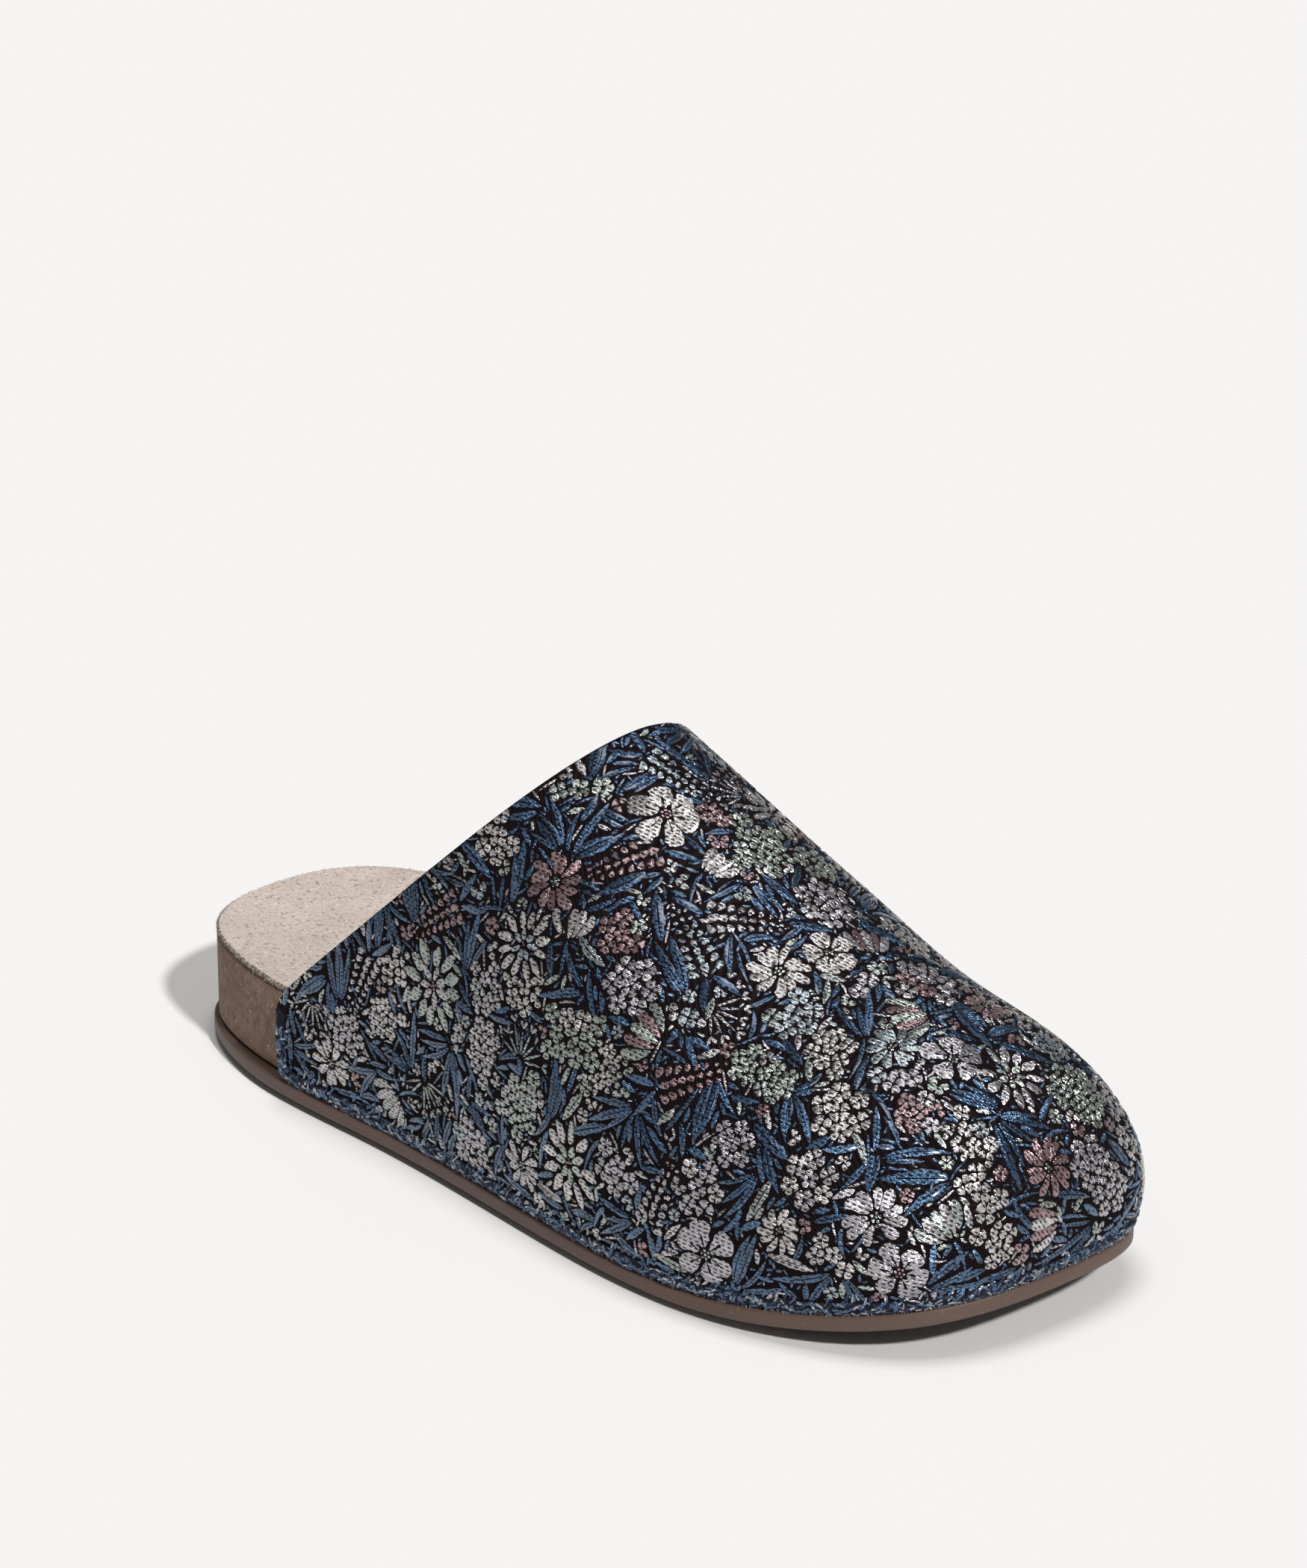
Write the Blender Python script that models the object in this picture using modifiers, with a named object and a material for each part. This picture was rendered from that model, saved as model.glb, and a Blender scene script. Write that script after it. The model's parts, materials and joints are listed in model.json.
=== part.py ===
"""Slip-on mule for the right foot: a woven upper on a cork footbed with a suede sock and a rubber outsole.

The shoe is modelled on its last: x runs along the foot from the back of the heel to the toe, y runs across it
with the medial (big toe) side plus, and z is up from the floor. An empty then carries every piece so that the
middle of the shoe lies over the world origin. Lengths are in metres.
"""

import math

import bmesh
import bpy
import numpy as np
from mathutils import Matrix

MM = 0.001

# Driving dimensions
FOOT_LENGTH = 256.5 * MM  # the last's feather line, heel to toe
BALL_WIDTH = 93 * MM  # the last's feather line, across the ball
HEEL_WIDTH = 69 * MM
CLEARANCE = 0.3 * MM  # between pieces that are glued together

UPPER_WALL = 1.5 * MM
SOCK_THICKNESS = 1.2 * MM
RIM_TOP = 5.6 * MM  # top of the outsole's rim above the floor
HEEL_LEDGE = 1.2 * MM  # how far the rim stands out from the cork behind the upper
FRONT_LEDGE = 2.6 * MM  # and under the upper
TOE_SPRING = 8.4 * MM
SPRING_START = 0.72  # share of the length where the sole leaves the floor
WAIST_RELIEF = 1.2 * MM  # how far the tread is raised off the floor under the arch
WAIST = (0.34, 0.42, 0.50, 0.58)  # shares of the length where that relief starts, is full, ends and is gone

# Main lugs: bars left between grooves across the tread
GROOVE_WIDTH = 3.0 * MM
GROOVE_DEPTH = 1.2 * MM
GROOVE_PITCH = 11.5 * MM
GROOVE_RUNS = ((0.07, 0.31), (0.60, 0.93))  # shares of the length: heel and forefoot

# How finely the surfaces are divided
OUTLINE_STEPS = 40  # along each half of the sole's outline
SOLE_COLUMNS = 8  # across the sole
SIDE_RIBS = 19  # of the upper, along each side
TOE_RIBS = 22  # round its toe
UPPER_ROWS = 16  # from its sewn margin to the ridge
SPLINE_STEPS = 30  # between two landmarks

# The feather line: the outline of the last's bottom, in shares of its length and of the ball or heel width.
FEATHER_COLUMNS = ("landmark", "along", "across", "width")
FEATHER_LINE = (
    ("heel back", 0.000, 0.00, HEEL_WIDTH),
    ("heel back, lateral", 0.027, -0.33, HEEL_WIDTH),
    ("heel lateral", 0.108, -0.50, HEEL_WIDTH),
    ("waist lateral", 0.342, -0.43, BALL_WIDTH),
    ("ball lateral", 0.585, -0.49, BALL_WIDTH),
    ("little toe joint", 0.716, -0.51, BALL_WIDTH),
    ("little toe", 0.883, -0.42, BALL_WIDTH),
    ("toe lateral", 0.970, -0.25, BALL_WIDTH),
    ("toe tip", 1.000, 0.08, BALL_WIDTH),
    ("big toe", 0.974, 0.38, BALL_WIDTH),
    ("big toe joint", 0.912, 0.465, BALL_WIDTH),
    ("ball medial", 0.735, 0.49, BALL_WIDTH),
    ("waist medial", 0.426, 0.36, BALL_WIDTH),
    ("heel medial", 0.108, 0.50, HEEL_WIDTH),
    ("heel back, medial", 0.027, 0.33, HEEL_WIDTH),
)
TOE_TIP = 8  # its row in the table

# The last's ridge: its place across and its height above the floor, at shares of the length. Behind the collar
# the last goes on rising to the ankle, as it does in the maker's hands, and the upper is cut off it.
RIDGE_COLUMNS = ("along", "across", "height")
RIDGE = (
    (0.26, -3.2 * MM, 138.5 * MM),
    (0.40, -1.6 * MM, 121.5 * MM),
    (0.54, 0.0 * MM, 104.2 * MM),
    (0.67, 1.6 * MM, 85.2 * MM),
    (0.80, 3.2 * MM, 67.8 * MM),
    (0.91, 4.8 * MM, 64.2 * MM),
    (1.00, 6.4 * MM, 62.7 * MM),
)

# The upper's sections: how a section leaves the hem and how it arrives at the ridge, as the handles of a curve.
# lean is the share of the half width by which the handle at the hem points inwards, rise that handle's share of
# the height, and crown the share of the half width that the handle at the ridge reaches out to.
SECTION_COLUMNS = ("along", "lean", "rise", "crown")
SECTIONS = (
    (0.26, -0.180, 0.366, 0.836),
    (0.63, -0.178, 0.383, 0.830),
    (1.00, -0.173, 0.400, 0.812),
)

UPPER_REAR = 0.1975  # share of the length where the upper's rear edge stands
COLLAR_APEX = 0.520  # where the collar crosses the ridge
TOE_FAN = 0.80  # where the sections stop and the ribs fan out round the toe
COLLAR_DELAY = 0.129  # share of a rib, from the hem, along which the rear edge stays upright
COLLAR_BEND = 0.032  # how softly it then bends forward
COLLAR_SWEEP = 2.11  # how early the collar levels out at the ridge

# The sewn margin of the upper: distance from its edge, and how far the cloth stands out there.
MARGIN_COLUMNS = ("inwards", "proud")
SEWN_MARGIN = (
    (0.0 * MM, 0.0 * MM),
    (0.9 * MM, 0.35 * MM),
    (2.4 * MM, 0.35 * MM),
    (3.3 * MM, -0.25 * MM),
    (4.6 * MM, 0.0 * MM),
)
MARGIN_FADE = (20 * MM, 34 * MM)  # heights between which the margin of the rear edge dies out

# The outsole's edge from the floor up: distance inside the rim's edge, and height.
EDGE_COLUMNS = ("inside", "height")
OUTSOLE_EDGE = (
    (5.0 * MM, 0.0 * MM),
    (4.4 * MM, 1.9 * MM),
    (1.0 * MM, 2.2 * MM),
    (0.15 * MM, 2.9 * MM),
    (0.0 * MM, 4.0 * MM),
    (0.15 * MM, 5.0 * MM),
    (0.7 * MM, RIM_TOP),
)

# The cork's edge from the outsole's bed up to the footbed, and the sock's: distance inside the feather line, and
# share of the piece's height there.
BLOCK_COLUMNS = ("inside", "share")
CORK_EDGE = ((0.5 * MM, 0.0), (0.0 * MM, 0.03), (0.0 * MM, 0.97), (0.5 * MM, 1.0))
SOCK_EDGE = ((0.3 * MM, 0.0), (0.0 * MM, 0.35), (0.1 * MM, 0.75), (0.6 * MM, 1.0))

# The footbed: height of its edge above the outsole's bed, depth of its hollow, and how much higher the medial
# side stands.
FOOTBED_COLUMNS = ("along", "edge", "hollow", "arch")
FOOTBED = (
    (0.00, 21.4 * MM, 0.0 * MM, 0.0 * MM),
    (0.06, 21.4 * MM, 2.0 * MM, 0.0 * MM),
    (0.16, 21.2 * MM, 3.6 * MM, 0.0 * MM),
    (0.32, 20.4 * MM, 3.0 * MM, 1.5 * MM),
    (0.48, 16.5 * MM, 2.0 * MM, 3.0 * MM),
    (0.65, 12.0 * MM, 1.5 * MM, 1.0 * MM),
    (0.85, 9.5 * MM, 1.2 * MM, 0.0 * MM),
    (1.00, 9.0 * MM, 0.0 * MM, 0.0 * MM),
)

# Colours of the pieces, and how rough they are
SURFACES = {
    "outsole": ((0.106, 0.080, 0.069), 0.6),
    "midsole": ((0.171, 0.122, 0.098), 0.8),
    "insole": ((0.604, 0.546, 0.485), 0.9),
    "upper": ((0.060, 0.072, 0.098), 0.5),
}


def column(table, columns, name):
    """One named column of a table, as an array."""
    return np.array([row[columns.index(name)] for row in table], float)


def smooth(stations, values):
    """A smooth function through the values at the stations, straight beyond its ends."""
    slopes = np.gradient(values, stations)

    def value_at(x):
        x = np.asarray(x, float)
        inside = np.clip(x, stations[0], stations[-1])
        i = np.clip(np.searchsorted(stations, inside, side="right") - 1, 0, len(stations) - 2)
        width = stations[i + 1] - stations[i]
        t = (inside - stations[i]) / width
        start = values[i] * (1 + 2 * t) * (1 - t) ** 2 + slopes[i] * width * t * (1 - t) ** 2
        end = values[i + 1] * t**2 * (3 - 2 * t) + slopes[i + 1] * width * t**2 * (t - 1)
        beyond = np.where(x > inside, slopes[-1], slopes[0]) * (x - inside)
        return start + end + beyond

    return value_at


def along_foot(table, columns, name):
    """One column of a table as a smooth function of the distance from the heel."""
    return smooth(column(table, columns, "along") * FOOT_LENGTH, column(table, columns, name))


def ramp(x, start, end):
    """0 before the start, 1 after the end, and a soft rise between them."""
    share = np.clip((np.asarray(x, float) - start) / (end - start), 0, 1)
    return share**2 * (3 - 2 * share)


def closed_spline(points):
    """A closed curve of even curvature through the points."""
    spans = np.linalg.norm(np.roll(points, -1, axis=0) - points, axis=1)
    count = len(points)
    system = np.zeros((count, count))
    target = np.zeros((count, 2))
    for i in range(count):
        before, after = spans[i - 1], spans[i]
        system[i, i - 1] += after
        system[i, i] += 2 * (before + after)
        system[i, (i + 1) % count] += before
        step_in = (points[i] - points[i - 1]) / before
        step_out = (points[(i + 1) % count] - points[i]) / after
        target[i] = 3 * (after * step_in + before * step_out)
    slopes = np.linalg.solve(system, target)
    t = np.linspace(0, 1, SPLINE_STEPS, endpoint=False)[:, None]
    pieces = []
    for i in range(count):
        j = (i + 1) % count
        start = points[i] * (1 + 2 * t) * (1 - t) ** 2 + slopes[i] * spans[i] * t * (1 - t) ** 2
        end = points[j] * t**2 * (3 - 2 * t) + slopes[j] * spans[i] * t**2 * (t - 1)
        pieces.append(start + end)
    return np.concatenate(pieces)


def distances(line):
    """How far along a line of points each point lies."""
    return np.concatenate([[0], np.cumsum(np.linalg.norm(np.diff(line, axis=0), axis=1))])


def at_distances(line, wanted):
    """The points of a line at the wanted distances along it."""
    gone = distances(line)
    return np.column_stack([np.interp(wanted, gone, line[:, i]) for i in range(line.shape[1])])


def evenly(line, count):
    """The same line, as count + 1 points an equal distance apart."""
    return at_distances(line, np.linspace(0, distances(line)[-1], count + 1))


class Outline:
    """The feather line, from the heel along the lateral side to the toe and back, with its outward normals."""

    def __init__(self):
        along = column(FEATHER_LINE, FEATHER_COLUMNS, "along") * FOOT_LENGTH
        across = column(FEATHER_LINE, FEATHER_COLUMNS, "across") * column(FEATHER_LINE, FEATHER_COLUMNS, "width")
        fine = closed_spline(np.column_stack([along, across]))
        toe = TOE_TIP * SPLINE_STEPS
        lateral = evenly(fine[: toe + 1], OUTLINE_STEPS)
        medial = evenly(np.vstack([fine[toe:], fine[:1]]), OUTLINE_STEPS)
        self.points = np.vstack([lateral[:-1], medial[:-1]])
        ahead = np.roll(self.points, -1, axis=0) - np.roll(self.points, 1, axis=0)
        ahead /= np.linalg.norm(ahead, axis=1)[:, None]
        # The line runs anticlockwise seen from above, so its right hand points outwards.
        self.normals = np.column_stack([ahead[:, 1], -ahead[:, 0]])

    def ring(self, outwards):
        """The outline moved outwards, by one distance or by one for each point."""
        return self.points + self.normals * np.reshape(outwards, (-1, 1))


def spring(x):
    """How far the toe spring lifts the sole at a distance from the heel."""
    start = SPRING_START * FOOT_LENGTH
    share = np.clip((np.asarray(x, float) - start) / (FOOT_LENGTH - start), 0, None)
    return TOE_SPRING * share**2


def tread_height(x):
    """Height of the tread above the floor: on it at the heel and the ball, off it under the arch and the toe."""
    start, full, end, gone = (share * FOOT_LENGTH for share in WAIST)
    return spring(x) + WAIST_RELIEF * (ramp(x, start, full) - ramp(x, end, gone))


def ledge(x):
    """How far the outsole's rim stands out from the cork: it widens just behind the upper's rear edge."""
    rear = UPPER_REAR * FOOT_LENGTH
    return HEEL_LEDGE + (FRONT_LEDGE - HEEL_LEDGE) * ramp(x, rear - 40 * MM, rear - 2 * MM)


class Footbed:
    """The hollowed top of the cork, as a height over each place of the sole."""

    def __init__(self):
        self.edge, self.hollow, self.arch = (
            along_foot(FOOTBED, FOOTBED_COLUMNS, name) for name in ("edge", "hollow", "arch")
        )

    def height(self, x, across):
        """Height above the floor; across is -1 at the lateral edge and 1 at the medial one."""
        bed = RIM_TOP + CLEARANCE + spring(x) + self.edge(x)
        medial = np.clip(across, 0, None) ** 2
        return bed - self.hollow(x) * (1 - across**2) + self.arch(x) * medial


class Last:
    """The form that the upper is pulled over, at the upper's outer face."""

    def __init__(self, outline):
        self.ridge_height = along_foot(RIDGE, RIDGE_COLUMNS, "height")
        self.ridge_across = along_foot(RIDGE, RIDGE_COLUMNS, "across")
        self.handles = [along_foot(SECTIONS, SECTION_COLUMNS, name) for name in ("lean", "rise", "crown")]
        groove = -column(SEWN_MARGIN, MARGIN_COLUMNS, "proud").min()
        self.edge = outline.ring(CLEARANCE + UPPER_WALL + groove)
        fan = TOE_FAN * FOOT_LENGTH
        self.fan = np.array([fan, float(self.ridge_across(fan))])
        half = OUTLINE_STEPS
        lateral = self.edge[: half + 1]
        medial = np.vstack([self.edge[half:], self.edge[:1]])[::-1]
        self.sides = {"lateral": lateral, "medial": medial}

    def side_edge(self, side, x):
        """How far across the hem lies on one side, at a distance from the heel."""
        line = self.sides[side]
        return np.interp(x, line[:, 0], line[:, 1])

    def hem_height(self, x):
        return RIM_TOP + CLEARANCE + spring(x)

    def section(self, x, t):
        """Shares of the way in to the ridge and up to it, at a share t of a rib."""
        lean, rise, crown = (handle(x) for handle in self.handles)
        near = 3 * (1 - t) ** 2 * t
        far = 3 * (1 - t) * t**2
        inwards = near * lean + far * (1 - crown) + t**3
        upwards = near * rise + far + t**3
        return inwards, upwards

    def rib(self, place, side, t):
        """Points of the upper's face along the rib that starts at a place of the hem: t is 0 there, 1 at the ridge."""
        rear, apex, fan = (share * FOOT_LENGTH for share in (UPPER_REAR, COLLAR_APEX, TOE_FAN))
        if place[0] < fan:
            ridge_x = apex + (fan - apex) * (place[0] - rear) / (fan - rear)
            x = place[0] + (ridge_x - place[0]) * collar_ease(t)
            inwards, upwards = self.section(x, t)
            middle = self.ridge_across(x)
            y = middle + (self.side_edge(side, x) - middle) * (1 - inwards)
            hem = self.hem_height(x)
        else:
            inwards, upwards = self.section(place[0], t)
            x, y = place[:, None] + (self.fan - place)[:, None] * inwards
            hem = self.hem_height(place[0])
        z = hem + (self.ridge_height(x) - hem) * upwards
        return np.column_stack([x, y, z])

    def hem_places(self):
        """Where the ribs start: (place, side, distance from the rear edge), from one rear edge round to the other."""
        rear, fan = UPPER_REAR * FOOT_LENGTH, TOE_FAN * FOOT_LENGTH
        margin = column(SEWN_MARGIN, MARGIN_COLUMNS, "inwards")
        stations = np.concatenate([rear + margin, np.linspace(rear + margin[-1], fan, SIDE_RIBS + 1)[1:-1]])
        sides = {
            side: [(np.array([x, self.side_edge(side, x)]), side, x - rear) for x in stations] for side in self.sides
        }
        ends = [np.array([[fan, self.side_edge(side, fan)]]) for side in ("lateral", "medial")]
        front = self.edge[self.edge[:, 0] > fan]
        toe = evenly(np.vstack([ends[0], front, ends[1]]), TOE_RIBS)
        return sides["lateral"] + [(place, "toe", fan - rear) for place in toe] + sides["medial"][::-1]

    def outer_face(self):
        """The upper's outer face as a grid of points, a row for each rib, from the hem to the ridge."""
        margin = column(SEWN_MARGIN, MARGIN_COLUMNS, "inwards")
        proud = column(SEWN_MARGIN, MARGIN_COLUMNS, "proud")
        fine = np.linspace(0, 1, 241)
        places = self.hem_places()
        hem = np.array([place for place, side, behind in places])
        ahead = np.gradient(hem, axis=0)
        outwards = np.column_stack([ahead[:, 1], -ahead[:, 0]]) / np.linalg.norm(ahead, axis=1)[:, None]
        grid = []
        for (place, side, behind), normal in zip(places, outwards):
            line = self.rib(place, side, fine)
            length = distances(line)[-1]
            rows = np.concatenate([margin, np.linspace(margin[-1], length, UPPER_ROWS + 1)[1:]])
            points = at_distances(line, rows)
            rear_share = 1 - ramp(points[:, 2], *MARGIN_FADE)
            stands = np.interp(rows, margin, proud)
            if behind < margin[-1]:
                nearer = np.minimum(rows, behind)
                stands = stands + (np.interp(nearer, margin, proud) - stands) * rear_share
            points[:, :2] += normal * stands[:, None]
            grid.append(points)
        return np.array(grid)


def collar_ease(t):
    """Share of the way forward that a rib has leant at a share t of its length: upright first, level at the ridge."""
    share = (t - COLLAR_DELAY) / (1 - COLLAR_DELAY)
    share = np.clip((share + np.sqrt(share**2 + COLLAR_BEND**2)) / 2, 0, 1)
    return 1 - (1 - share) ** COLLAR_SWEEP


def skin(shape, grid):
    """Stretches faces over a grid of points; lines that meet in one point are welded later."""
    corners = [[shape.verts.new(point) for point in line] for line in grid]
    for line, following in zip(corners, corners[1:]):
        for i in range(len(line) - 1):
            shape.faces.new((line[i], line[i + 1], following[i + 1], following[i]))


def closed_ring(plan, heights):
    """A ring of points over a closed line of the plan, with its first point again at the end."""
    points = np.column_stack([plan, heights])
    return np.vstack([points, points[:1]])


def ladder(plan, height):
    """A grid over the inside of an outline: rungs from its lateral to its medial half, at height(x, across)."""
    half = OUTLINE_STEPS
    lateral = plan[: half + 1]
    medial = np.vstack([plan[half:], plan[:1]])[::-1]
    grid = []
    for start, end in zip(lateral, medial):
        share = np.linspace(0, 1, SOLE_COLUMNS + 1)[:, None]
        rung = start + (end - start) * share
        grid.append(np.column_stack([rung, height(rung[:, 0], 2 * share[:, 0] - 1)]))
    # The first and the last rung are single points of the edge.
    for i in (0, -1):
        grid[i][:, 2] = height(grid[i][:, 0], np.ones(SOLE_COLUMNS + 1))
    return grid


def edge_heights(plan, height):
    """The height of a footbed along an outline, lateral half first."""
    across = np.where(np.arange(len(plan)) < OUTLINE_STEPS, -1.0, 1.0)
    return height(plan[:, 0], across)


def welded(shape):
    """Welds the skins of one piece into a closed body that faces outwards."""
    bmesh.ops.remove_doubles(shape, verts=shape.verts, dist=1e-6)
    bmesh.ops.recalc_face_normals(shape, faces=shape.faces)
    return shape


def outsole_shape(outline):
    shape = bmesh.new()
    rim = ledge(outline.points[:, 0])
    rings = []
    for inside, height in OUTSOLE_EDGE:
        plan = outline.ring(rim - inside)
        lift = tread_height(plan[:, 0]) if height == 0 else spring(plan[:, 0])
        rings.append(closed_ring(plan, height + lift))
    skin(shape, rings)
    skin(shape, ladder(rings[0][:-1, :2], lambda x, across: tread_height(x)))
    skin(shape, ladder(rings[-1][:-1, :2], lambda x, across: RIM_TOP + spring(x)))
    return welded(shape)


def block_shape(outline, edge, bottom, top):
    """A piece between two heights over the feather line, with an edge profile."""
    shape = bmesh.new()
    rings = []
    for inside, share in edge:
        plan = outline.ring(-inside)
        low, high = edge_heights(plan, bottom), edge_heights(plan, top)
        rings.append(closed_ring(plan, low + (high - low) * share))
    skin(shape, rings)
    skin(shape, ladder(rings[0][:-1, :2], bottom))
    skin(shape, ladder(rings[-1][:-1, :2], top))
    return welded(shape)


def groove_cutters():
    """The grooves between the lugs: bars laid across the tread, tipped with the toe spring."""
    shape = bmesh.new()
    for start, end in GROOVE_RUNS:
        count = round((end - start) * FOOT_LENGTH / GROOVE_PITCH)
        for x in np.linspace(start * FOOT_LENGTH, end * FOOT_LENGTH, count + 1):
            slope = float(spring(x + MM) - spring(x - MM)) / (2 * MM)
            place = Matrix.Translation((x, 0, float(spring(x)))) @ Matrix.Rotation(-math.atan(slope), 4, "Y")
            size = Matrix.Diagonal((GROOVE_WIDTH, 1.5 * BALL_WIDTH, 2 * GROOVE_DEPTH, 1))
            bmesh.ops.create_cube(shape, size=1, matrix=place @ size)
    return shape


def upper_shape(face):
    shape = bmesh.new()
    skin(shape, face)
    bmesh.ops.remove_doubles(shape, verts=shape.verts, dist=1e-6)
    bmesh.ops.recalc_face_normals(shape, faces=shape.faces)
    middle = shape.faces[:][len(shape.faces) // 2]
    if middle.normal.x < 0:
        bmesh.ops.reverse_faces(shape, faces=shape.faces)
    return shape


def new_object(name, shape, collection, parent):
    mesh = bpy.data.meshes.new(name)
    shape.to_mesh(mesh)
    shape.free()
    piece = bpy.data.objects.new(name, mesh)
    piece.parent = parent
    collection.objects.link(piece)
    return piece


def paint(piece):
    colour, roughness = SURFACES[piece.name]
    material = bpy.data.materials.new(piece.name)
    material.use_nodes = True
    shader = material.node_tree.nodes["Principled BSDF"]
    shader.inputs["Base Color"].default_value = (*colour, 1)
    shader.inputs["Roughness"].default_value = roughness
    piece.data.materials.append(material)


def main():
    for old in list(bpy.data.objects):
        bpy.data.objects.remove(old)
    parts = bpy.data.collections.new("mule")
    cutters = bpy.data.collections.new("cutters")
    cutters.hide_render = True
    for collection in (parts, cutters):
        bpy.context.scene.collection.children.link(collection)

    outline = Outline()
    last = Last(outline)
    footbed = Footbed()
    face = last.outer_face()
    rim = outline.ring(ledge(outline.points[:, 0]))
    reach = np.vstack([rim, face[:, :, :2].reshape(-1, 2)])
    middle = (reach.min(axis=0) + reach.max(axis=0)) / 2
    carrier = bpy.data.objects.new("mule_middle", None)
    carrier.location = (-middle[0], -middle[1], 0)
    parts.objects.link(carrier)

    outsole = new_object("outsole", outsole_shape(outline), parts, carrier)
    grooves = new_object("tread_grooves", groove_cutters(), cutters, carrier)
    grooves.display_type = "WIRE"
    grooves.hide_render = True
    cut = outsole.modifiers.new("grooves", "BOOLEAN")
    cut.operation = "DIFFERENCE"
    cut.solver = "EXACT"
    cut.object = grooves

    bed = RIM_TOP + CLEARANCE
    midsole = new_object(
        "midsole", block_shape(outline, CORK_EDGE, lambda x, across: bed + spring(x), footbed.height), parts, carrier
    )
    sock_bottom = CLEARANCE
    insole = new_object(
        "insole",
        block_shape(
            outline,
            SOCK_EDGE,
            lambda x, across: footbed.height(x, across) + sock_bottom,
            lambda x, across: footbed.height(x, across) + sock_bottom + SOCK_THICKNESS,
        ),
        parts,
        carrier,
    )

    upper = new_object("upper", upper_shape(face), parts, carrier)
    wall = upper.modifiers.new("wall", "SOLIDIFY")
    wall.thickness = UPPER_WALL
    wall.offset = -1
    wall.use_even_offset = True
    wall.use_quality_normals = True

    for piece in (outsole, midsole, insole, upper):
        paint(piece)


if __name__ == "__main__":
    main()
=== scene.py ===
"""Looks of the mule: brocade upper, suede sock, cork midsole and rubber outsole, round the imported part.

The shapes are made on the shoe's last, as in part.py: x runs from the heel to the toe, y to the medial side
and z up, in metres. They are then moved so that the middle of the shoe lies over the origin.
"""

import json
import math
from collections import namedtuple

import bmesh
import bpy
import numpy as np
from mathutils import Matrix, Quaternion, Vector, kdtree, noise
from mathutils.bvhtree import BVHTree

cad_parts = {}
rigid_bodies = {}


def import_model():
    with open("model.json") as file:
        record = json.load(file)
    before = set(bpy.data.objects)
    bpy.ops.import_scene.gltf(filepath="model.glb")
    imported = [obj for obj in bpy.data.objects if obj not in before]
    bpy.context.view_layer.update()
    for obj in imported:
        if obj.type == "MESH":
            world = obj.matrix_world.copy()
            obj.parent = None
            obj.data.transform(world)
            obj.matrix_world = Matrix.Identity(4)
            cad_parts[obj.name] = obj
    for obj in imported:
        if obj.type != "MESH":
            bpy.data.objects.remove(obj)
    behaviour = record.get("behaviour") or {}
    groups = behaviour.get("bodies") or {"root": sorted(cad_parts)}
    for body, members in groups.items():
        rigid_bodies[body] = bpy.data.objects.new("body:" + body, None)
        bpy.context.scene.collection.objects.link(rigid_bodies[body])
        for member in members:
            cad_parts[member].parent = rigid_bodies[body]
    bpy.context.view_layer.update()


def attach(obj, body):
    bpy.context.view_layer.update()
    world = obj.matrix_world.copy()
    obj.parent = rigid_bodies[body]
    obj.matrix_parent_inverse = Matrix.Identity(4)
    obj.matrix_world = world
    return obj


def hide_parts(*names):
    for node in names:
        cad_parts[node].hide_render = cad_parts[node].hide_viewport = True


MM = 0.001
WELD = 1e-6

# The last, as in part.py
FOOT_LENGTH = 256.5 * MM
BALL_WIDTH = 93 * MM
HEEL_WIDTH = 69 * MM
MIDDLE = np.array([129.789 * MM, -0.508 * MM, 0.0])  # the middle of the shoe, on the last
CLEARANCE = 0.3 * MM
UPPER_WALL = 1.5 * MM
HEM_OUTWARDS = CLEARANCE + UPPER_WALL + 0.25 * MM  # from the feather line to the upper's outer face
SOCK_THICKNESS = 1.2 * MM
RIM_TOP = 5.6 * MM
HEEL_LEDGE = 1.2 * MM
FRONT_LEDGE = 2.6 * MM
LEDGE_GROWS = (40 * MM, 2 * MM)  # from here to here behind the upper's rear edge
TOE_SPRING = 8.4 * MM
SPRING_START = 0.72 * FOOT_LENGTH
WAIST_RELIEF = 1.2 * MM
WAIST = (0.34, 0.42, 0.50, 0.58)  # where the relief starts, is full, starts to end and is gone
GROOVE_WIDTH = 3.0 * MM
GROOVE_DEPTH = 1.2 * MM
GROOVE_PITCH = 11.5 * MM
GROOVE_REACH = 1.5 * BALL_WIDTH  # across the whole tread
GROOVE_RUNS = ((0.07, 0.31), (0.60, 0.93))  # under the heel and under the ball
UPPER_REAR = 0.1975 * FOOT_LENGTH
COLLAR_APEX = 0.520 * FOOT_LENGTH
TOE_FAN = 0.80 * FOOT_LENGTH
COLLAR_DELAY = 0.129  # how late, how sharply and how fast the collar's line turns forward
COLLAR_BEND = 0.032
COLLAR_SWEEP = 2.11

# Finer divisions than the part's
OUTLINE_STEPS = 150
SOLE_COLUMNS = 30
SIDE_RIBS = 80
TOE_RIBS = 90
RIB_STEPS = 480
UPPER_ROWS = 80
SPLINE_STEPS = 60
FOLD_STEPS = 6

# Tables under their columns' names: along and across are shares of the foot's length and width
FEATHER_LINE = (
    ("along", "across", "width"),
    (0.000, 0.00, HEEL_WIDTH),
    (0.027, -0.33, HEEL_WIDTH),
    (0.108, -0.50, HEEL_WIDTH),
    (0.342, -0.43, BALL_WIDTH),
    (0.585, -0.49, BALL_WIDTH),
    (0.716, -0.51, BALL_WIDTH),
    (0.883, -0.42, BALL_WIDTH),
    (0.970, -0.25, BALL_WIDTH),
    (1.000, 0.08, BALL_WIDTH),
    (0.974, 0.38, BALL_WIDTH),
    (0.912, 0.465, BALL_WIDTH),
    (0.735, 0.49, BALL_WIDTH),
    (0.426, 0.36, BALL_WIDTH),
    (0.108, 0.50, HEEL_WIDTH),
    (0.027, 0.33, HEEL_WIDTH),
)
TOE_TIP = 8  # the feather line's point at the toe, counted from 0 at the heel
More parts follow.
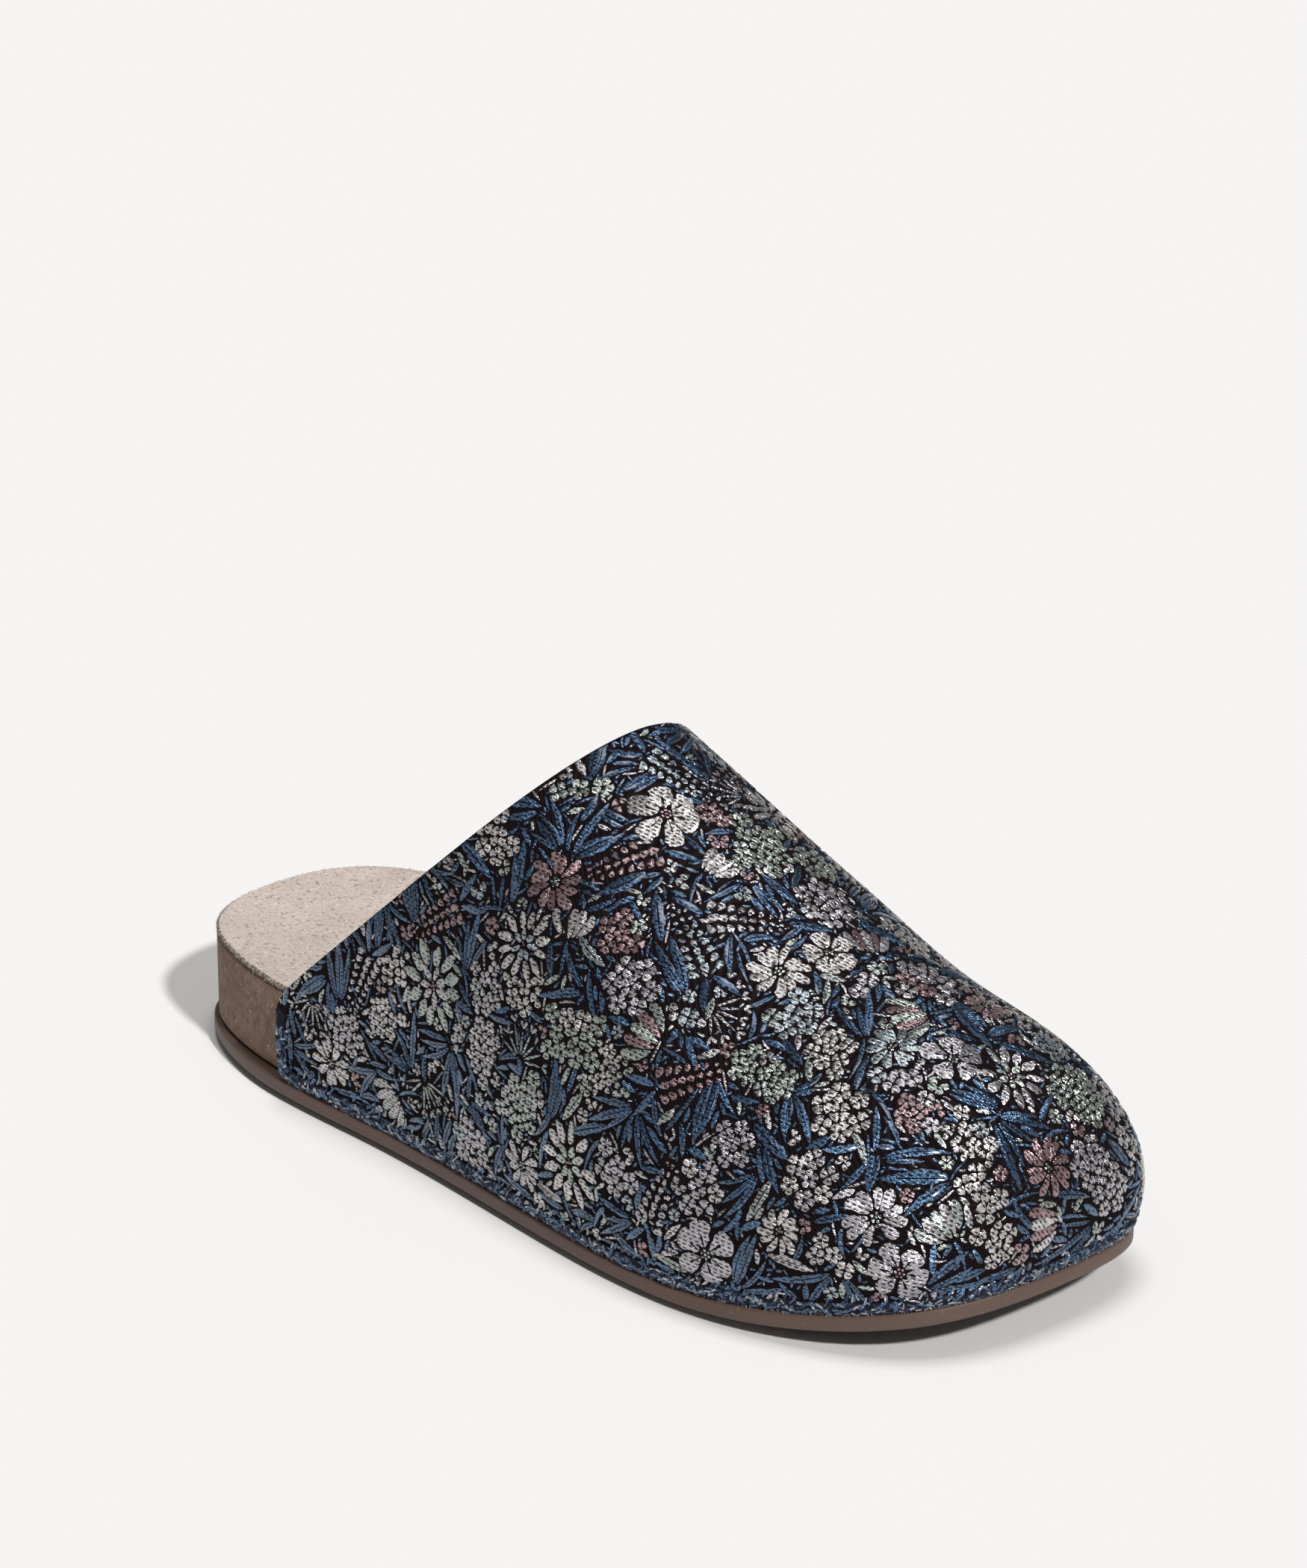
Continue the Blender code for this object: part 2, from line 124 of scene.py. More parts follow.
RIDGE = (
    ("along", "across_mm", "height_mm"),
    (0.26, -3.2, 138.5),
    (0.40, -1.6, 121.5),
    (0.54, 0.0, 104.2),
    (0.67, 1.6, 85.2),
    (0.80, 3.2, 67.8),
    (0.91, 4.8, 64.2),
    (1.00, 6.4, 62.7),
)
SECTIONS = (
    ("along", "lean", "rise", "crown"),
    (0.26, -0.180, 0.366, 0.836),
    (0.63, -0.178, 0.383, 0.830),
    (1.00, -0.173, 0.400, 0.812),
)
FOOTBED = (
    ("along", "edge_mm", "hollow_mm", "arch_mm"),
    (0.00, 21.4, 0.0, 0.0),
    (0.06, 21.4, 2.0, 0.0),
    (0.16, 21.2, 3.6, 0.0),
    (0.32, 20.4, 3.0, 1.5),
    (0.48, 16.5, 2.0, 3.0),
    (0.65, 12.0, 1.5, 1.0),
    (0.85, 9.5, 1.2, 0.0),
    (1.00, 9.0, 0.0, 0.0),
)

# The sewn band, a soft bead with a groove above it: distance from the edge, and how far it stands out
SEWN_MARGIN = (
    ("inwards_mm", "proud_mm"),
    (0.0, 0.0),
    (0.3, 0.20),
    (0.8, 0.36),
    (1.4, 0.44),
    (2.1, 0.46),
    (2.9, 0.38),
    (3.5, 0.14),
    (4.0, -0.22),
    (4.5, -0.25),
    (5.1, -0.10),
    (5.9, 0.0),
)
MARGIN_FADE = (20 * MM, 34 * MM)  # heights between which it fades out of the rear edge
HEM_CORNER = 3.2 * MM  # radius of the corner between the hem and the rear edge
BAND_WIDTH = 3.9 * MM
BAND_REAR_TOP = MARGIN_FADE[0] + 6 * MM
BAND_CRUMPLE = 0.32 * MM
BAND_PUCKERS = ((0.55, 1.0), (1.6, 0.7))  # how often in a millimetre, and how strong
BAND_GROUND = (0.010, 0.016, 0.036)
BAND_COLOURS = ("navy", "navy", "navy", "blue", "blue", "blue", "blue", "blue", "aqua", "silver")
BAND_PITCH = 1.20 * MM
BAND_ROWS = (-1.5, -0.5, 0.5, 1.4)  # across the band, in mm from its middle
BAND_MIDDLE = 4  # the grid's line along the middle of the band
BAND_STITCH_TOP = MARGIN_FADE[0] + 5 * MM

# Ranges of the band's stitches, in mm and radians
STITCH_LENGTH = (1.3, 3.0)
STITCH_HALF = (0.26, 0.46)
STITCH_SLANT = (0.1, 1.3)
STITCH_STRAY = (-0.25, 0.25)
STITCH_BEND = (-0.3, 0.3)

# Profile of the outsole's edge, from the tread up: how far inside the rim, and how high
OUTSOLE_EDGE = (
    ("inside_mm", "height_mm"),
    (5.0, 0.0),
    (4.4, 1.5),
    (1.0, 1.7),
    (0.35, 1.85),
    (0.08, 2.2),
    (0.0, 2.8),
    (0.0, 4.5),
    (0.04, 5.0),
    (0.2, 5.4),
    (0.6, RIM_TOP / MM),
)
TREAD_RINGS = 2  # of those, below the rim

# Side profiles of the cork and the sock: how far inside the feather line, and the share of the height
EDGE_NAMES = ("inside_mm", "share")
CORK_EDGE = (EDGE_NAMES, (0.5, 0.0), (0.0, 0.03), (0.0, 0.35), (0.0, 0.7), (0.0, 0.97), (0.5, 1.0))
SOCK_EDGE = (EDGE_NAMES, (0.3, 0.0), (0.0, 0.35), (0.1, 0.75), (0.6, 1.0))

# The camera of the photograph, in the row frame
CAMERA_TARGET = Vector((-14.113 * MM, 19.929 * MM, 82.898 * MM))
CAMERA_AZIMUTH = 46.63
CAMERA_ELEVATION = 21.746
CAMERA_DISTANCE = 1344.957 * MM
CAMERA_LENS = 133.836
CAMERA_CLIP = (0.05, 30.0)
SENSOR = 36.0

# Lamps in an even studio: name, azimuth, elevation, strength and angular size
LAMPS = (
    ("key", 74.7, 40.0, 2.60, 4.0),
    ("overhead", 60.0, 86.0, 1.22, 22.0),
)
STUDIO_LIGHT = 0.15
STUDIO_COLOUR = (1.0, 0.992, 0.985)
FLOOR_HALF = 6.0
FLOOR_COLOUR = (0.86, 0.85, 0.84)

# Threads of the brocade, in linear colour
THREADS = {
    "blue": (0.102, 0.194, 0.335),
    "silver": (0.640, 0.610, 0.645),
    "mint": (0.540, 0.605, 0.570),
    "aqua": (0.490, 0.570, 0.620),
    "rose": (0.450, 0.300, 0.320),
    "cream": (0.780, 0.745, 0.735),
    "navy": (0.018, 0.034, 0.085),
}
PALE = ("silver", "mint", "aqua", "cream")
HEAD_SHARES = (0.27, 0.23, 0.18, 0.18, 0.14)  # of those colours and rose, among the crowded heads
GROUND_DARK = (0.005, 0.003, 0.004)
GROUND_LIGHT = (0.017, 0.010, 0.010)
TWILL = (0.62, -0.30, 0.72)  # square to the ribs of the ground
TWILL_PITCH = 0.55 * MM
THREAD_PITCH = 0.38  # across the floats, in mm as the thread map is
THREAD_SHADES = (0.55, 1.25)  # the darkest and the lightest thread of a colour
THREAD_METAL = 0.85  # how far the floats shine in their own colour
FLOAT_UNEVEN = 0.6 * MM  # how often a float lies a little higher or lower
FLOAT_SWELL = 2.5  # how much higher
FLOAT_DEPTH = 0.055 * MM
# Painted shade: the valley between two threads is darkened towards the ground's colour
VALLEY_SHADE = 0.55  # how dark the cloth is between two threads
FLOAT_ANGLE = math.radians(24)
CLOTH_RUN = Vector((1.0, 0.0, -0.6))  # the way the cloth runs over the foot

# The dashes where the ground ties a float down, in mm as the thread map is
TIE_ALONG = 1.60
TIE_ACROSS = 0.95
TIE_LENGTH = 0.58
TIE_WIDTH = 0.25
TIE_SHARE = 0.95  # of the places where a tie could be
TIE_DARK = 0.92
TIE_DEPTH = 1.8  # against the float's own relief

# How the pattern is laid
SEED = 11
SITES = 150000
MANY_PETALS = 14  # in a motif that is only laid where enough of the cloth round it is free
FACING = 0.3  # least cosine between a site's normal and the motif's
CROWDED = 1.2  # greatest sum of the share that is taken there and the share of petals that must find room
ROOM = 0.45  # the share of a petal that must lie on the cloth
PETAL_AREA = 1.3  # of the product of its length and half width
OVERLAP = 0.10  # the share of a petal that may lie on others
PETAL_RISE = 0.32 * MM
PETAL_ROOT = -0.06 * MM
PETAL_STEP = 0.65 * MM
PETAL_STEPS = (3, 18)  # at least and at most
PETAL_PUFF = 0.20  # how far a petal's shading leans at its edge
PETAL_TILT = 0.17  # how far a whole petal's shading leans its own way, as its threads lie
PETAL_GAP = 0.33 * MM
PETAL_JAG = 0.42  # how unevenly the weave cuts a petal's outline, as a share of its width
PETAL_TIP = 0.08  # least width, as a share of the greatest
FINE_HALF = 0.7 * MM  # a wider petal than this has the finer rows: places across it, and their rise
FINE_ROWS = np.array([[-1, -0.66, 0, 0.66, 1], [0, 0.9, 1, 0.9, 0]])
NARROW_ROWS = np.array([[-1, 0, 1], [0, 1, 0]])

# Fibres of the suede's edge and of the hem
FIBRE_WIDTH = 0.20 * MM
FIBRE_OUT = (0.1, 0.5)  # how far a fibre leans out, aside and up, as shares of its length
FIBRE_ASIDE = (-0.9, 0.9)
FIBRE_UP = (-0.9, 0.2)
FIBRE_SHARE = (0.3, 1.0)  # of the full length
NAP_COUNT = 9000
NAP_LENGTH = 1.3 * MM
NAP_INSIDE = 0.1 * MM
NAP_ROOT = 0.75  # share of the sock's thickness
NAP_STRAY = (-1.0, 1.0)  # along the edge and up, in mm
NAP_HEIGHTS = (-0.75, 0.3)
NAP_COLOURS = (
    ("sock_nap_dark", (0.10, 0.085, 0.065), (0.22, 0.19, 0.15)),
    ("sock_nap_pale", (0.36, 0.32, 0.27), (0.62, 0.57, 0.50)),
)
FRAY_COUNT = 2600
FRAY_LENGTH = 1.1 * MM
FRAY_COLOURS = ((0.10, 0.12, 0.17), (0.42, 0.41, 0.42))

# Rubber, dark and light; the tread's is the rim's rubber made darker, as painted shade under the rim
RIM_COLOURS = ((0.088, 0.053, 0.041), (0.122, 0.077, 0.060))
TREAD_SHADE_COLOURS = ((0.050, 0.032, 0.024), (0.072, 0.048, 0.037))


def columns(table):
    """The columns of a table, as arrays; one whose name ends in _mm is turned into metres."""
    made = []
    for name, *values in zip(*table):
        made.append(np.array(values, float) * (MM if name.endswith("_mm") else 1.0))
    return made


def hermite(t, width, start, end, slope, end_slope):
    """A cubic between two values that leaves and meets them at the given slopes."""
    first = start * (1 + 2 * t) * (1 - t) ** 2 + slope * width * t * (1 - t) ** 2
    second = end * t**2 * (3 - 2 * t) + end_slope * width * t**2 * (t - 1)
    return first + second


def smooth(stations, values):
    """A smooth function through the values at the stations, straight beyond its ends."""
    slopes = np.gradient(values, stations)

    def value_at(x):
        x = np.asarray(x, float)
        inside = np.clip(x, stations[0], stations[-1])
        i = np.clip(np.searchsorted(stations, inside, side="right") - 1, 0, len(stations) - 2)
        width = stations[i + 1] - stations[i]
        t = (inside - stations[i]) / width
        curve = hermite(t, width, values[i], values[i + 1], slopes[i], slopes[i + 1])
        return curve + np.where(x > inside, slopes[-1], slopes[0]) * (x - inside)

    return value_at


def along_foot(table):
    """A table's columns after the first, each as a smooth function of the distance from the heel."""
    along, *others = columns(table)
    return [smooth(along * FOOT_LENGTH, values) for values in others]


def ramp(x, start, end):
    """0 before the start, 1 after the end, and a soft rise between them."""
    share = np.clip((np.asarray(x, float) - start) / (end - start), 0, 1)
    return share**2 * (3 - 2 * share)


def closed_spline(points):
    """A closed curve of even curvature through the points."""
    count = len(points)
    steps = np.roll(points, -1, axis=0) - points
    spans = np.linalg.norm(steps, axis=1)
    steps = steps / spans[:, None]
    system = np.zeros((count, count))
    target = np.zeros((count, 2))
    for i in range(count):
        before, after = spans[i - 1], spans[i]
        system[i, i - 1] += after
        system[i, i] += 2 * (before + after)
        system[i, (i + 1) % count] += before
        target[i] = 3 * (after * steps[i - 1] + before * steps[i])
    slopes = np.linalg.solve(system, target)
    t = np.linspace(0, 1, SPLINE_STEPS, endpoint=False)[:, None]
    pieces = []
    for i in range(count):
        j = (i + 1) % count
        pieces.append(hermite(t, spans[i], points[i], points[j], slopes[i], slopes[j]))
    return np.concatenate(pieces)

# The tread is the rim's rubber darkened with painted shade

def unit(vectors):
    """The same directions, each of length 1."""
    return vectors / np.linalg.norm(vectors, axis=-1, keepdims=True)


def distances(line):
    """How far along a line of points each point lies."""
    return np.concatenate([[0], np.cumsum(np.linalg.norm(np.diff(line, axis=0), axis=1))])


def at_distances(line, wanted):
    """The points of a line at the wanted distances along it."""
    gone = distances(line)
    return np.column_stack([np.interp(wanted, gone, line[:, i]) for i in range(line.shape[1])])


def evenly(line, count):
    """The same line, as count + 1 points an equal distance apart."""
    return at_distances(line, np.linspace(0, distances(line)[-1], count + 1))


class Outline:
    """The feather line from the heel along the lateral side to the toe and back, and its outward normals."""

    def __init__(self):
        along, across, width = columns(FEATHER_LINE)
        fine = closed_spline(np.column_stack([along * FOOT_LENGTH, across * width]))
        toe = TOE_TIP * SPLINE_STEPS
        lateral = evenly(fine[: toe + 1], OUTLINE_STEPS)
        medial = evenly(np.vstack([fine[toe:], fine[:1]]), OUTLINE_STEPS)
        self.points = np.vstack([lateral[:-1], medial[:-1]])
        ahead = unit(np.roll(self.points, -1, axis=0) - np.roll(self.points, 1, axis=0))
        self.normals = np.column_stack([ahead[:, 1], -ahead[:, 0]])

    def ring(self, outwards):
        """The outline moved outwards, by one distance or by one for each point."""
        return self.points + self.normals * np.reshape(outwards, (-1, 1))


def two_sides(plan):
    """The lateral and the medial half of an outline, each from the heel to the toe."""
    medial = np.vstack([plan[OUTLINE_STEPS:], plan[:1]])[::-1]
    return plan[: OUTLINE_STEPS + 1], medial


def spring(x):
    """How far the toe spring lifts the sole at a distance from the heel."""
    share = np.clip((np.asarray(x, float) - SPRING_START) / (FOOT_LENGTH - SPRING_START), 0, None)
    return TOE_SPRING * share**2


def tread_height(x):
    """Height of the tread above the floor."""
    start, full, end, gone = (share * FOOT_LENGTH for share in WAIST)
    return spring(x) + WAIST_RELIEF * (ramp(x, start, full) - ramp(x, end, gone))


def ledge(x):
    """How far the outsole's rim stands out from the cork."""
    start, end = (UPPER_REAR - behind for behind in LEDGE_GROWS)
    return HEEL_LEDGE + (FRONT_LEDGE - HEEL_LEDGE) * ramp(x, start, end)


def footbed_top():
    """The hollowed top of the cork, by x and by across: -1 at the lateral edge, 1 at the medial one."""
    edge, hollow, arch = along_foot(FOOTBED)

    def height(x, across):
        bed = RIM_TOP + CLEARANCE + spring(x) + edge(x)
        medial = np.clip(across, 0, None) ** 2
        return bed - hollow(x) * (1 - across**2) + arch(x) * medial

    return height


def collar_ease(t):
    """Share of the way forward that a rib has leant at a share t of its length."""
    share = (t - COLLAR_DELAY) / (1 - COLLAR_DELAY)
    share = np.clip((share + np.sqrt(share**2 + COLLAR_BEND**2)) / 2, 0, 1)
    return 1 - (1 - share) ** COLLAR_SWEEP


class Last:
    """The form that the upper is pulled over, at the upper's outer face."""

    def __init__(self, outline):
        self.ridge_across, self.ridge_height = along_foot(RIDGE)
        self.handles = along_foot(SECTIONS)
        self.edge = outline.ring(HEM_OUTWARDS)
        self.fan = np.array([TOE_FAN, float(self.ridge_across(TOE_FAN))])
        self.sides = dict(zip(("lateral", "medial"), two_sides(self.edge)))

    def side_edge(self, side, x):
        """How far across the hem lies on one side, at a distance from the heel."""
        line = self.sides[side]
        return np.interp(x, line[:, 0], line[:, 1])

    def hem_height(self, x):
        return RIM_TOP + CLEARANCE + spring(x)

    def section(self, x, t):
        """Shares of the way in to the ridge and up to it, at a share t of a rib."""
        lean, rise, crown = (handle(x) for handle in self.handles)
        near = 3 * (1 - t) ** 2 * t
        far = 3 * (1 - t) * t**2
        inwards = near * lean + far * (1 - crown) + t**3
        upwards = near * rise + far + t**3
        return inwards, upwards

    def rib(self, place, side, t):
        """Points of the upper's face along the rib that starts at a place of the hem."""
        if place[0] < TOE_FAN:
            ridge_x = COLLAR_APEX + (TOE_FAN - COLLAR_APEX) * (place[0] - UPPER_REAR) / (TOE_FAN - UPPER_REAR)
            x = place[0] + (ridge_x - place[0]) * collar_ease(t)
            inwards, upwards = self.section(x, t)
            middle = self.ridge_across(x)
            y = middle + (self.side_edge(side, x) - middle) * (1 - inwards)
            hem = self.hem_height(x)
        else:
            inwards, upwards = self.section(place[0], t)
            x, y = place[:, None] + (self.fan - place)[:, None] * inwards
            hem = self.hem_height(place[0])
        z = hem + (self.ridge_height(x) - hem) * upwards
        return np.column_stack([x, y, z])

    def hem_places(self):
        """Where the ribs start: (place, side, distance from the rear edge)."""
        rear = UPPER_REAR + columns(SEWN_MARGIN)[0]
        stations = np.concatenate([rear, np.linspace(rear[-1], TOE_FAN, SIDE_RIBS + 1)[1:-1]])
        sides = {}
        for side in self.sides:
            places = [np.array([x, self.side_edge(side, x)]) for x in stations]
            sides[side] = [(place, side, place[0] - UPPER_REAR) for place in places]
        ends = [np.array([[TOE_FAN, self.side_edge(side, TOE_FAN)]]) for side in self.sides]
        front = self.edge[self.edge[:, 0] > TOE_FAN]
        toe = evenly(np.vstack([ends[0], front, ends[1]]), TOE_RIBS)
        toe_places = [(place, "toe", TOE_FAN - UPPER_REAR) for place in toe]
        return sides["lateral"] + toe_places + sides["medial"][::-1]


class Face:
    """The upper's outer face in the row frame: a grid with a line for each rib, from hem to ridge."""

    def __init__(self, last):
        margin, proud = columns(SEWN_MARGIN)
        fine = np.linspace(0, 1, RIB_STEPS + 1)
        places = last.hem_places()
        hem = np.array([place for place, side, behind in places])
        ahead = unit(np.gradient(hem, axis=0))
        outwards = np.column_stack([ahead[:, 1], -ahead[:, 0]])
        grid, from_hem = [], []
        for (place, side, behind), normal in zip(places, outwards):
            line = last.rib(place, side, fine)
            length = distances(line)[-1]
            rows = np.concatenate([margin, np.linspace(margin[-1], length, UPPER_ROWS + 1)[1:]])
            inside = max(0.0, HEM_CORNER - behind)
            raised = HEM_CORNER - math.sqrt(HEM_CORNER**2 - inside**2)
            points = at_distances(line, raised + rows * (1 - raised / length))
            stands = np.interp(rows, margin, proud)
            if behind < margin[-1]:
                rear_share = 1 - ramp(points[:, 2], *MARGIN_FADE)
                nearer = np.minimum(rows, behind)
                stands = stands + (np.interp(nearer, margin, proud) - stands) * rear_share
            points[:, :2] += normal * stands[:, None]
            grid.append(points)
            from_hem.append(rows)
        self.points = np.array(grid) - MIDDLE
        self.normals = self.find_normals(last)
        behind = np.array([behind for place, side, behind in places])
        rear_band = (behind[:, None] < BAND_WIDTH) & (self.points[:, :, 2] < BAND_REAR_TOP)
        self.in_band = (np.array(from_hem) < BAND_WIDTH) | rear_band

    def find_normals(self, last):
        """Outward normals of the grid; where the ribs meet, they follow the slope of the ridge."""
        along = np.gradient(self.points, axis=0)
        up = np.gradient(self.points, axis=1)
        normals = np.cross(along, up)
        x = self.points[:, -1, 0] + MIDDLE[0]
        slope = (last.ridge_height(x + MM) - last.ridge_height(x - MM)) / (2 * MM)
        normals[:, -1] = np.column_stack([-slope, np.zeros(len(x)), np.ones(len(x))])
        return unit(normals)

    def crumple(self):
        """Puckers the sewn band a little, as its dense stitches do."""
        for i, j in zip(*np.nonzero(self.in_band)):
            place = Vector(self.points[i, j]) / MM
            pucker = sum(strength * noise.noise(place * often) for often, strength in BAND_PUCKERS)
            self.points[i, j] += self.normals[i, j] * pucker * BAND_CRUMPLE


def skin(shape, grid):
    """Stretches faces over a grid of points."""
    corners = [[shape.verts.new(point) for point in line] for line in grid]
    faces = []
    for line, following in zip(corners, corners[1:]):
        for i in range(len(line) - 1):
            faces.append(shape.faces.new((line[i], line[i + 1], following[i + 1], following[i])))
    return faces


def closed_ring(plan, heights):
    """A ring of points over a closed line of the plan, with its first point again at the end."""
    points = np.column_stack([plan, heights])
    return np.vstack([points, points[:1]])


def ladder(plan, height):
    """A grid inside an outline: rungs from its lateral to its medial half, at height(x, across)."""
    share = np.linspace(0, 1, SOLE_COLUMNS + 1)[:, None]
    grid = []
    for start, end in zip(*two_sides(plan)):
        rung = start + (end - start) * share
        grid.append(np.column_stack([rung, height(rung[:, 0], 2 * share[:, 0] - 1)]))
    for end in (grid[0], grid[-1]):
        end[:, 2] = height(end[:, 0], np.ones(SOLE_COLUMNS + 1))
    return grid


def edge_heights(plan, height):
    """The height of a footbed along an outline, lateral half first."""
    across = np.where(np.arange(len(plan)) < OUTLINE_STEPS, -1.0, 1.0)
    return height(plan[:, 0], across)


def welded(shape, move=(0, 0, 0)):
    """Welds the skins of one piece, turns its faces outwards and moves it."""
    bmesh.ops.remove_doubles(shape, verts=shape.verts, dist=WELD)
    bmesh.ops.recalc_face_normals(shape, faces=shape.faces)
    bmesh.ops.translate(shape, verts=shape.verts, vec=move)
    return shape


def outsole_shape(outline):
    """Rim and tread; the tread takes the second material, the same rubber darkened as painted shade."""
    shape = bmesh.new()
    rim = ledge(outline.points[:, 0])
    rings = []
    for inside, height in zip(*columns(OUTSOLE_EDGE)):
        plan = outline.ring(rim - inside)
        lift = tread_height(plan[:, 0]) if height == 0 else spring(plan[:, 0])
        rings.append(closed_ring(plan, height + lift))
    skin(shape, rings[TREAD_RINGS:])
    tread = skin(shape, rings[: TREAD_RINGS + 1])
    tread += skin(shape, ladder(rings[0][:-1, :2], lambda x, across: tread_height(x)))
    for patch in tread:
        patch.material_index = 1
    skin(shape, ladder(rings[-1][:-1, :2], lambda x, across: RIM_TOP + spring(x)))
    return welded(shape, -MIDDLE)


def block_shape(outline, edge, bottom, top, side_material=0):
    """A piece between two heights over the feather line, with an edge profile."""
    shape = bmesh.new()
    rings = []
    for inside, share in zip(*columns(edge)):
        plan = outline.ring(-inside)
        low, high = edge_heights(plan, bottom), edge_heights(plan, top)
        rings.append(closed_ring(plan, low + (high - low) * share))
    for patch in skin(shape, rings):
        patch.material_index = side_material
    skin(shape, ladder(rings[0][:-1, :2], bottom))
    skin(shape, ladder(rings[-1][:-1, :2], top))
    return welded(shape, -MIDDLE)


def groove_cutters():
    """The grooves between the lugs: bars laid across the tread, tipped with the toe spring."""
    shape = bmesh.new()
    for start, end in GROOVE_RUNS:
        count = round((end - start) * FOOT_LENGTH / GROOVE_PITCH)
        for x in np.linspace(start * FOOT_LENGTH, end * FOOT_LENGTH, count + 1):
            slope = float(spring(x + MM) - spring(x - MM)) / (2 * MM)
            place = Matrix.Translation((x, 0, float(spring(x)))) @ Matrix.Rotation(-math.atan(slope), 4, "Y")
            size = Matrix.Diagonal((GROOVE_WIDTH, GROOVE_REACH, 2 * GROOVE_DEPTH, 1))
            bmesh.ops.create_cube(shape, size=1, matrix=place @ size)
    bmesh.ops.translate(shape, verts=shape.verts, vec=-MIDDLE)
    return shape


def rolled_edge(edge, inside, normals):
    """The fold at a free edge of the cloth: half a round from its outer face to its inner one."""
    away = edge - inside
    away = unit(away - normals * np.sum(away * normals, axis=1)[:, None])
    radius = UPPER_WALL / 2
    middle = edge - normals * radius
    lines = []
    for turn in np.linspace(math.pi / 2, -math.pi / 2, FOLD_STEPS + 1):
        lines.append(middle + radius * (math.sin(turn) * normals + math.cos(turn) * away))
    return np.array(lines)


def cloth_shape(face):
    """The outer face of the upper with its folded edges; faces of the sewn band take the second material."""
    shape = bmesh.new()
    rows = face.points.shape[1] - 1
    for k, patch in enumerate(skin(shape, face.points)):
        i, j = divmod(k, rows)
        patch.material_index = int(face.in_band[i : i + 2, j : j + 2].all())
    for i, inner in ((0, 1), (-1, -2)):
        skin(shape, rolled_edge(face.points[i], face.points[inner], face.normals[i]))
    for patch in skin(shape, rolled_edge(face.points[:, 0], face.points[:, 1], face.normals[:, 0])):
        patch.material_index = 1
    return welded(shape)


def lining_shape(face):
    shape = bmesh.new()
    skin(shape, face.points - face.normals * UPPER_WALL)
    return welded(shape)


def new_object(name, data):
    made = bpy.data.objects.new(name, data)
    bpy.context.scene.collection.objects.link(made)
    return made


def shape_mesh(name, shape):
    """A mesh from a bmesh, which is freed."""
    mesh = bpy.data.meshes.new(name)
    shape.to_mesh(mesh)
    shape.free()
    return mesh


def listed_mesh(name, vertices, faces):
    mesh = bpy.data.meshes.new(name)
    mesh.from_pydata(vertices, [], faces)
    return mesh


def finished(name, mesh, slot, *materials):
    """A smooth piece of the shoe, riding on the part."""
    mesh.polygons.foreach_set("use_smooth", np.ones(len(mesh.polygons), bool))
    for material in materials:
        mesh.materials.append(material)
    piece = new_object(name, mesh)
    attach(piece, "root")
    return piece


class Paint:
    """A material, with short calls that add nodes to it."""

    def __init__(self, name, **settings):
        self.material = bpy.data.materials.new(name)
        self.material.use_nodes = True
        self.tree = self.material.node_tree
        self.shader = self.tree.nodes["Principled BSDF"]
        for socket, value in settings.items():
            self.feed(self.shader.inputs[socket.replace("_", " ")], value)

    def feed(self, socket, value):
        """Links a node's output to the socket, or sets a constant on it."""
        if isinstance(value, bpy.types.NodeSocket):
            self.tree.links.new(value, socket)
        elif socket.type == "RGBA":
            socket.default_value = (*value, 1)
        else:
            socket.default_value = value

    def node(self, kind, inputs, output, **settings):
        """Adds a node, feeds its sockets and gives the output named or numbered."""
        made = self.tree.nodes.new("ShaderNode" + kind)
        for name, value in settings.items():
            setattr(made, name, value)
        for socket, value in inputs.items():
            self.feed(made.inputs[socket], value)
        return made.outputs[output]

    def place(self):
        return self.node("TexCoord", {}, "Object")

    def math(self, operation, first, second=0.0):
        return self.node("Math", {0: first, 1: second}, 0, operation=operation)

    def noise(self, size, detail=2.0, shift=0.0):
        """Noise with features of about a size; a shift makes two noises of like size differ."""
        place = self.place()
        if shift:
            place = self.node("VectorMath", {0: place, 1: (shift, 2 * shift, 3 * shift)}, 0, operation="ADD")
        return self.node("TexNoise", {"Vector": place, "Scale": 1 / size, "Detail": detail}, "Fac")

    def chance(self, dimensions, **inputs):
        """A random share for each whole number or pair of them."""
        return self.node("TexWhiteNoise", inputs, "Value", noise_dimensions=dimensions)

    def between(self, value, start, end):
        """0 before the start and 1 past the end of a value."""
        inputs = {"Value": value, "From Min": start, "From Max": end}
        return self.node("MapRange", inputs, "Result", interpolation_type="SMOOTHSTEP")

    def mix(self, share, first, second):
        """A mix of two colours, by the sockets that the node has for colours."""
        return self.node("Mix", {0: share, 6: first, 7: second}, 2, data_type="RGBA")

    def specks(self, base, *layers):
        """Soft specks over a colour, by layers: size in mm, detail, shift, start, full and colour."""
        for size, detail, shift, start, full, colour in layers:
            share = self.between(self.noise(size * MM, detail, shift), start, full)
            base = self.mix(share, base, colour)
        return base

    def finish(self, base, height=None, depth=0.0, strength=1.0):
        """Sets the colour and the relief, and gives the material."""
        self.feed(self.shader.inputs["Base Color"], base)
        if height:
            relief = {"Height": height, "Distance": depth, "Strength": strength}
            self.feed(self.shader.inputs["Normal"], self.node("Bump", relief, "Normal"))
        return self.material


def ground_paint():
    """The dark twill that the pattern is woven on."""
    paint = Paint("brocade_ground", Roughness=0.85, Specular_IOR_Level=0.06)
    across = paint.node("VectorMath", {0: paint.place(), 1: TWILL}, "Value", operation="DOT_PRODUCT")
    ribs = paint.math("SINE", paint.math("MULTIPLY", across, 2 * math.pi / TWILL_PITCH))
    light = paint.mix(paint.noise(9 * MM), GROUND_DARK, GROUND_LIGHT)
    base = paint.mix(paint.between(ribs, -0.6, 0.8), GROUND_DARK, light)
    return paint.finish(base, paint.math("ADD", ribs, paint.noise(0.5 * MM)), 0.09 * MM, 0.9)


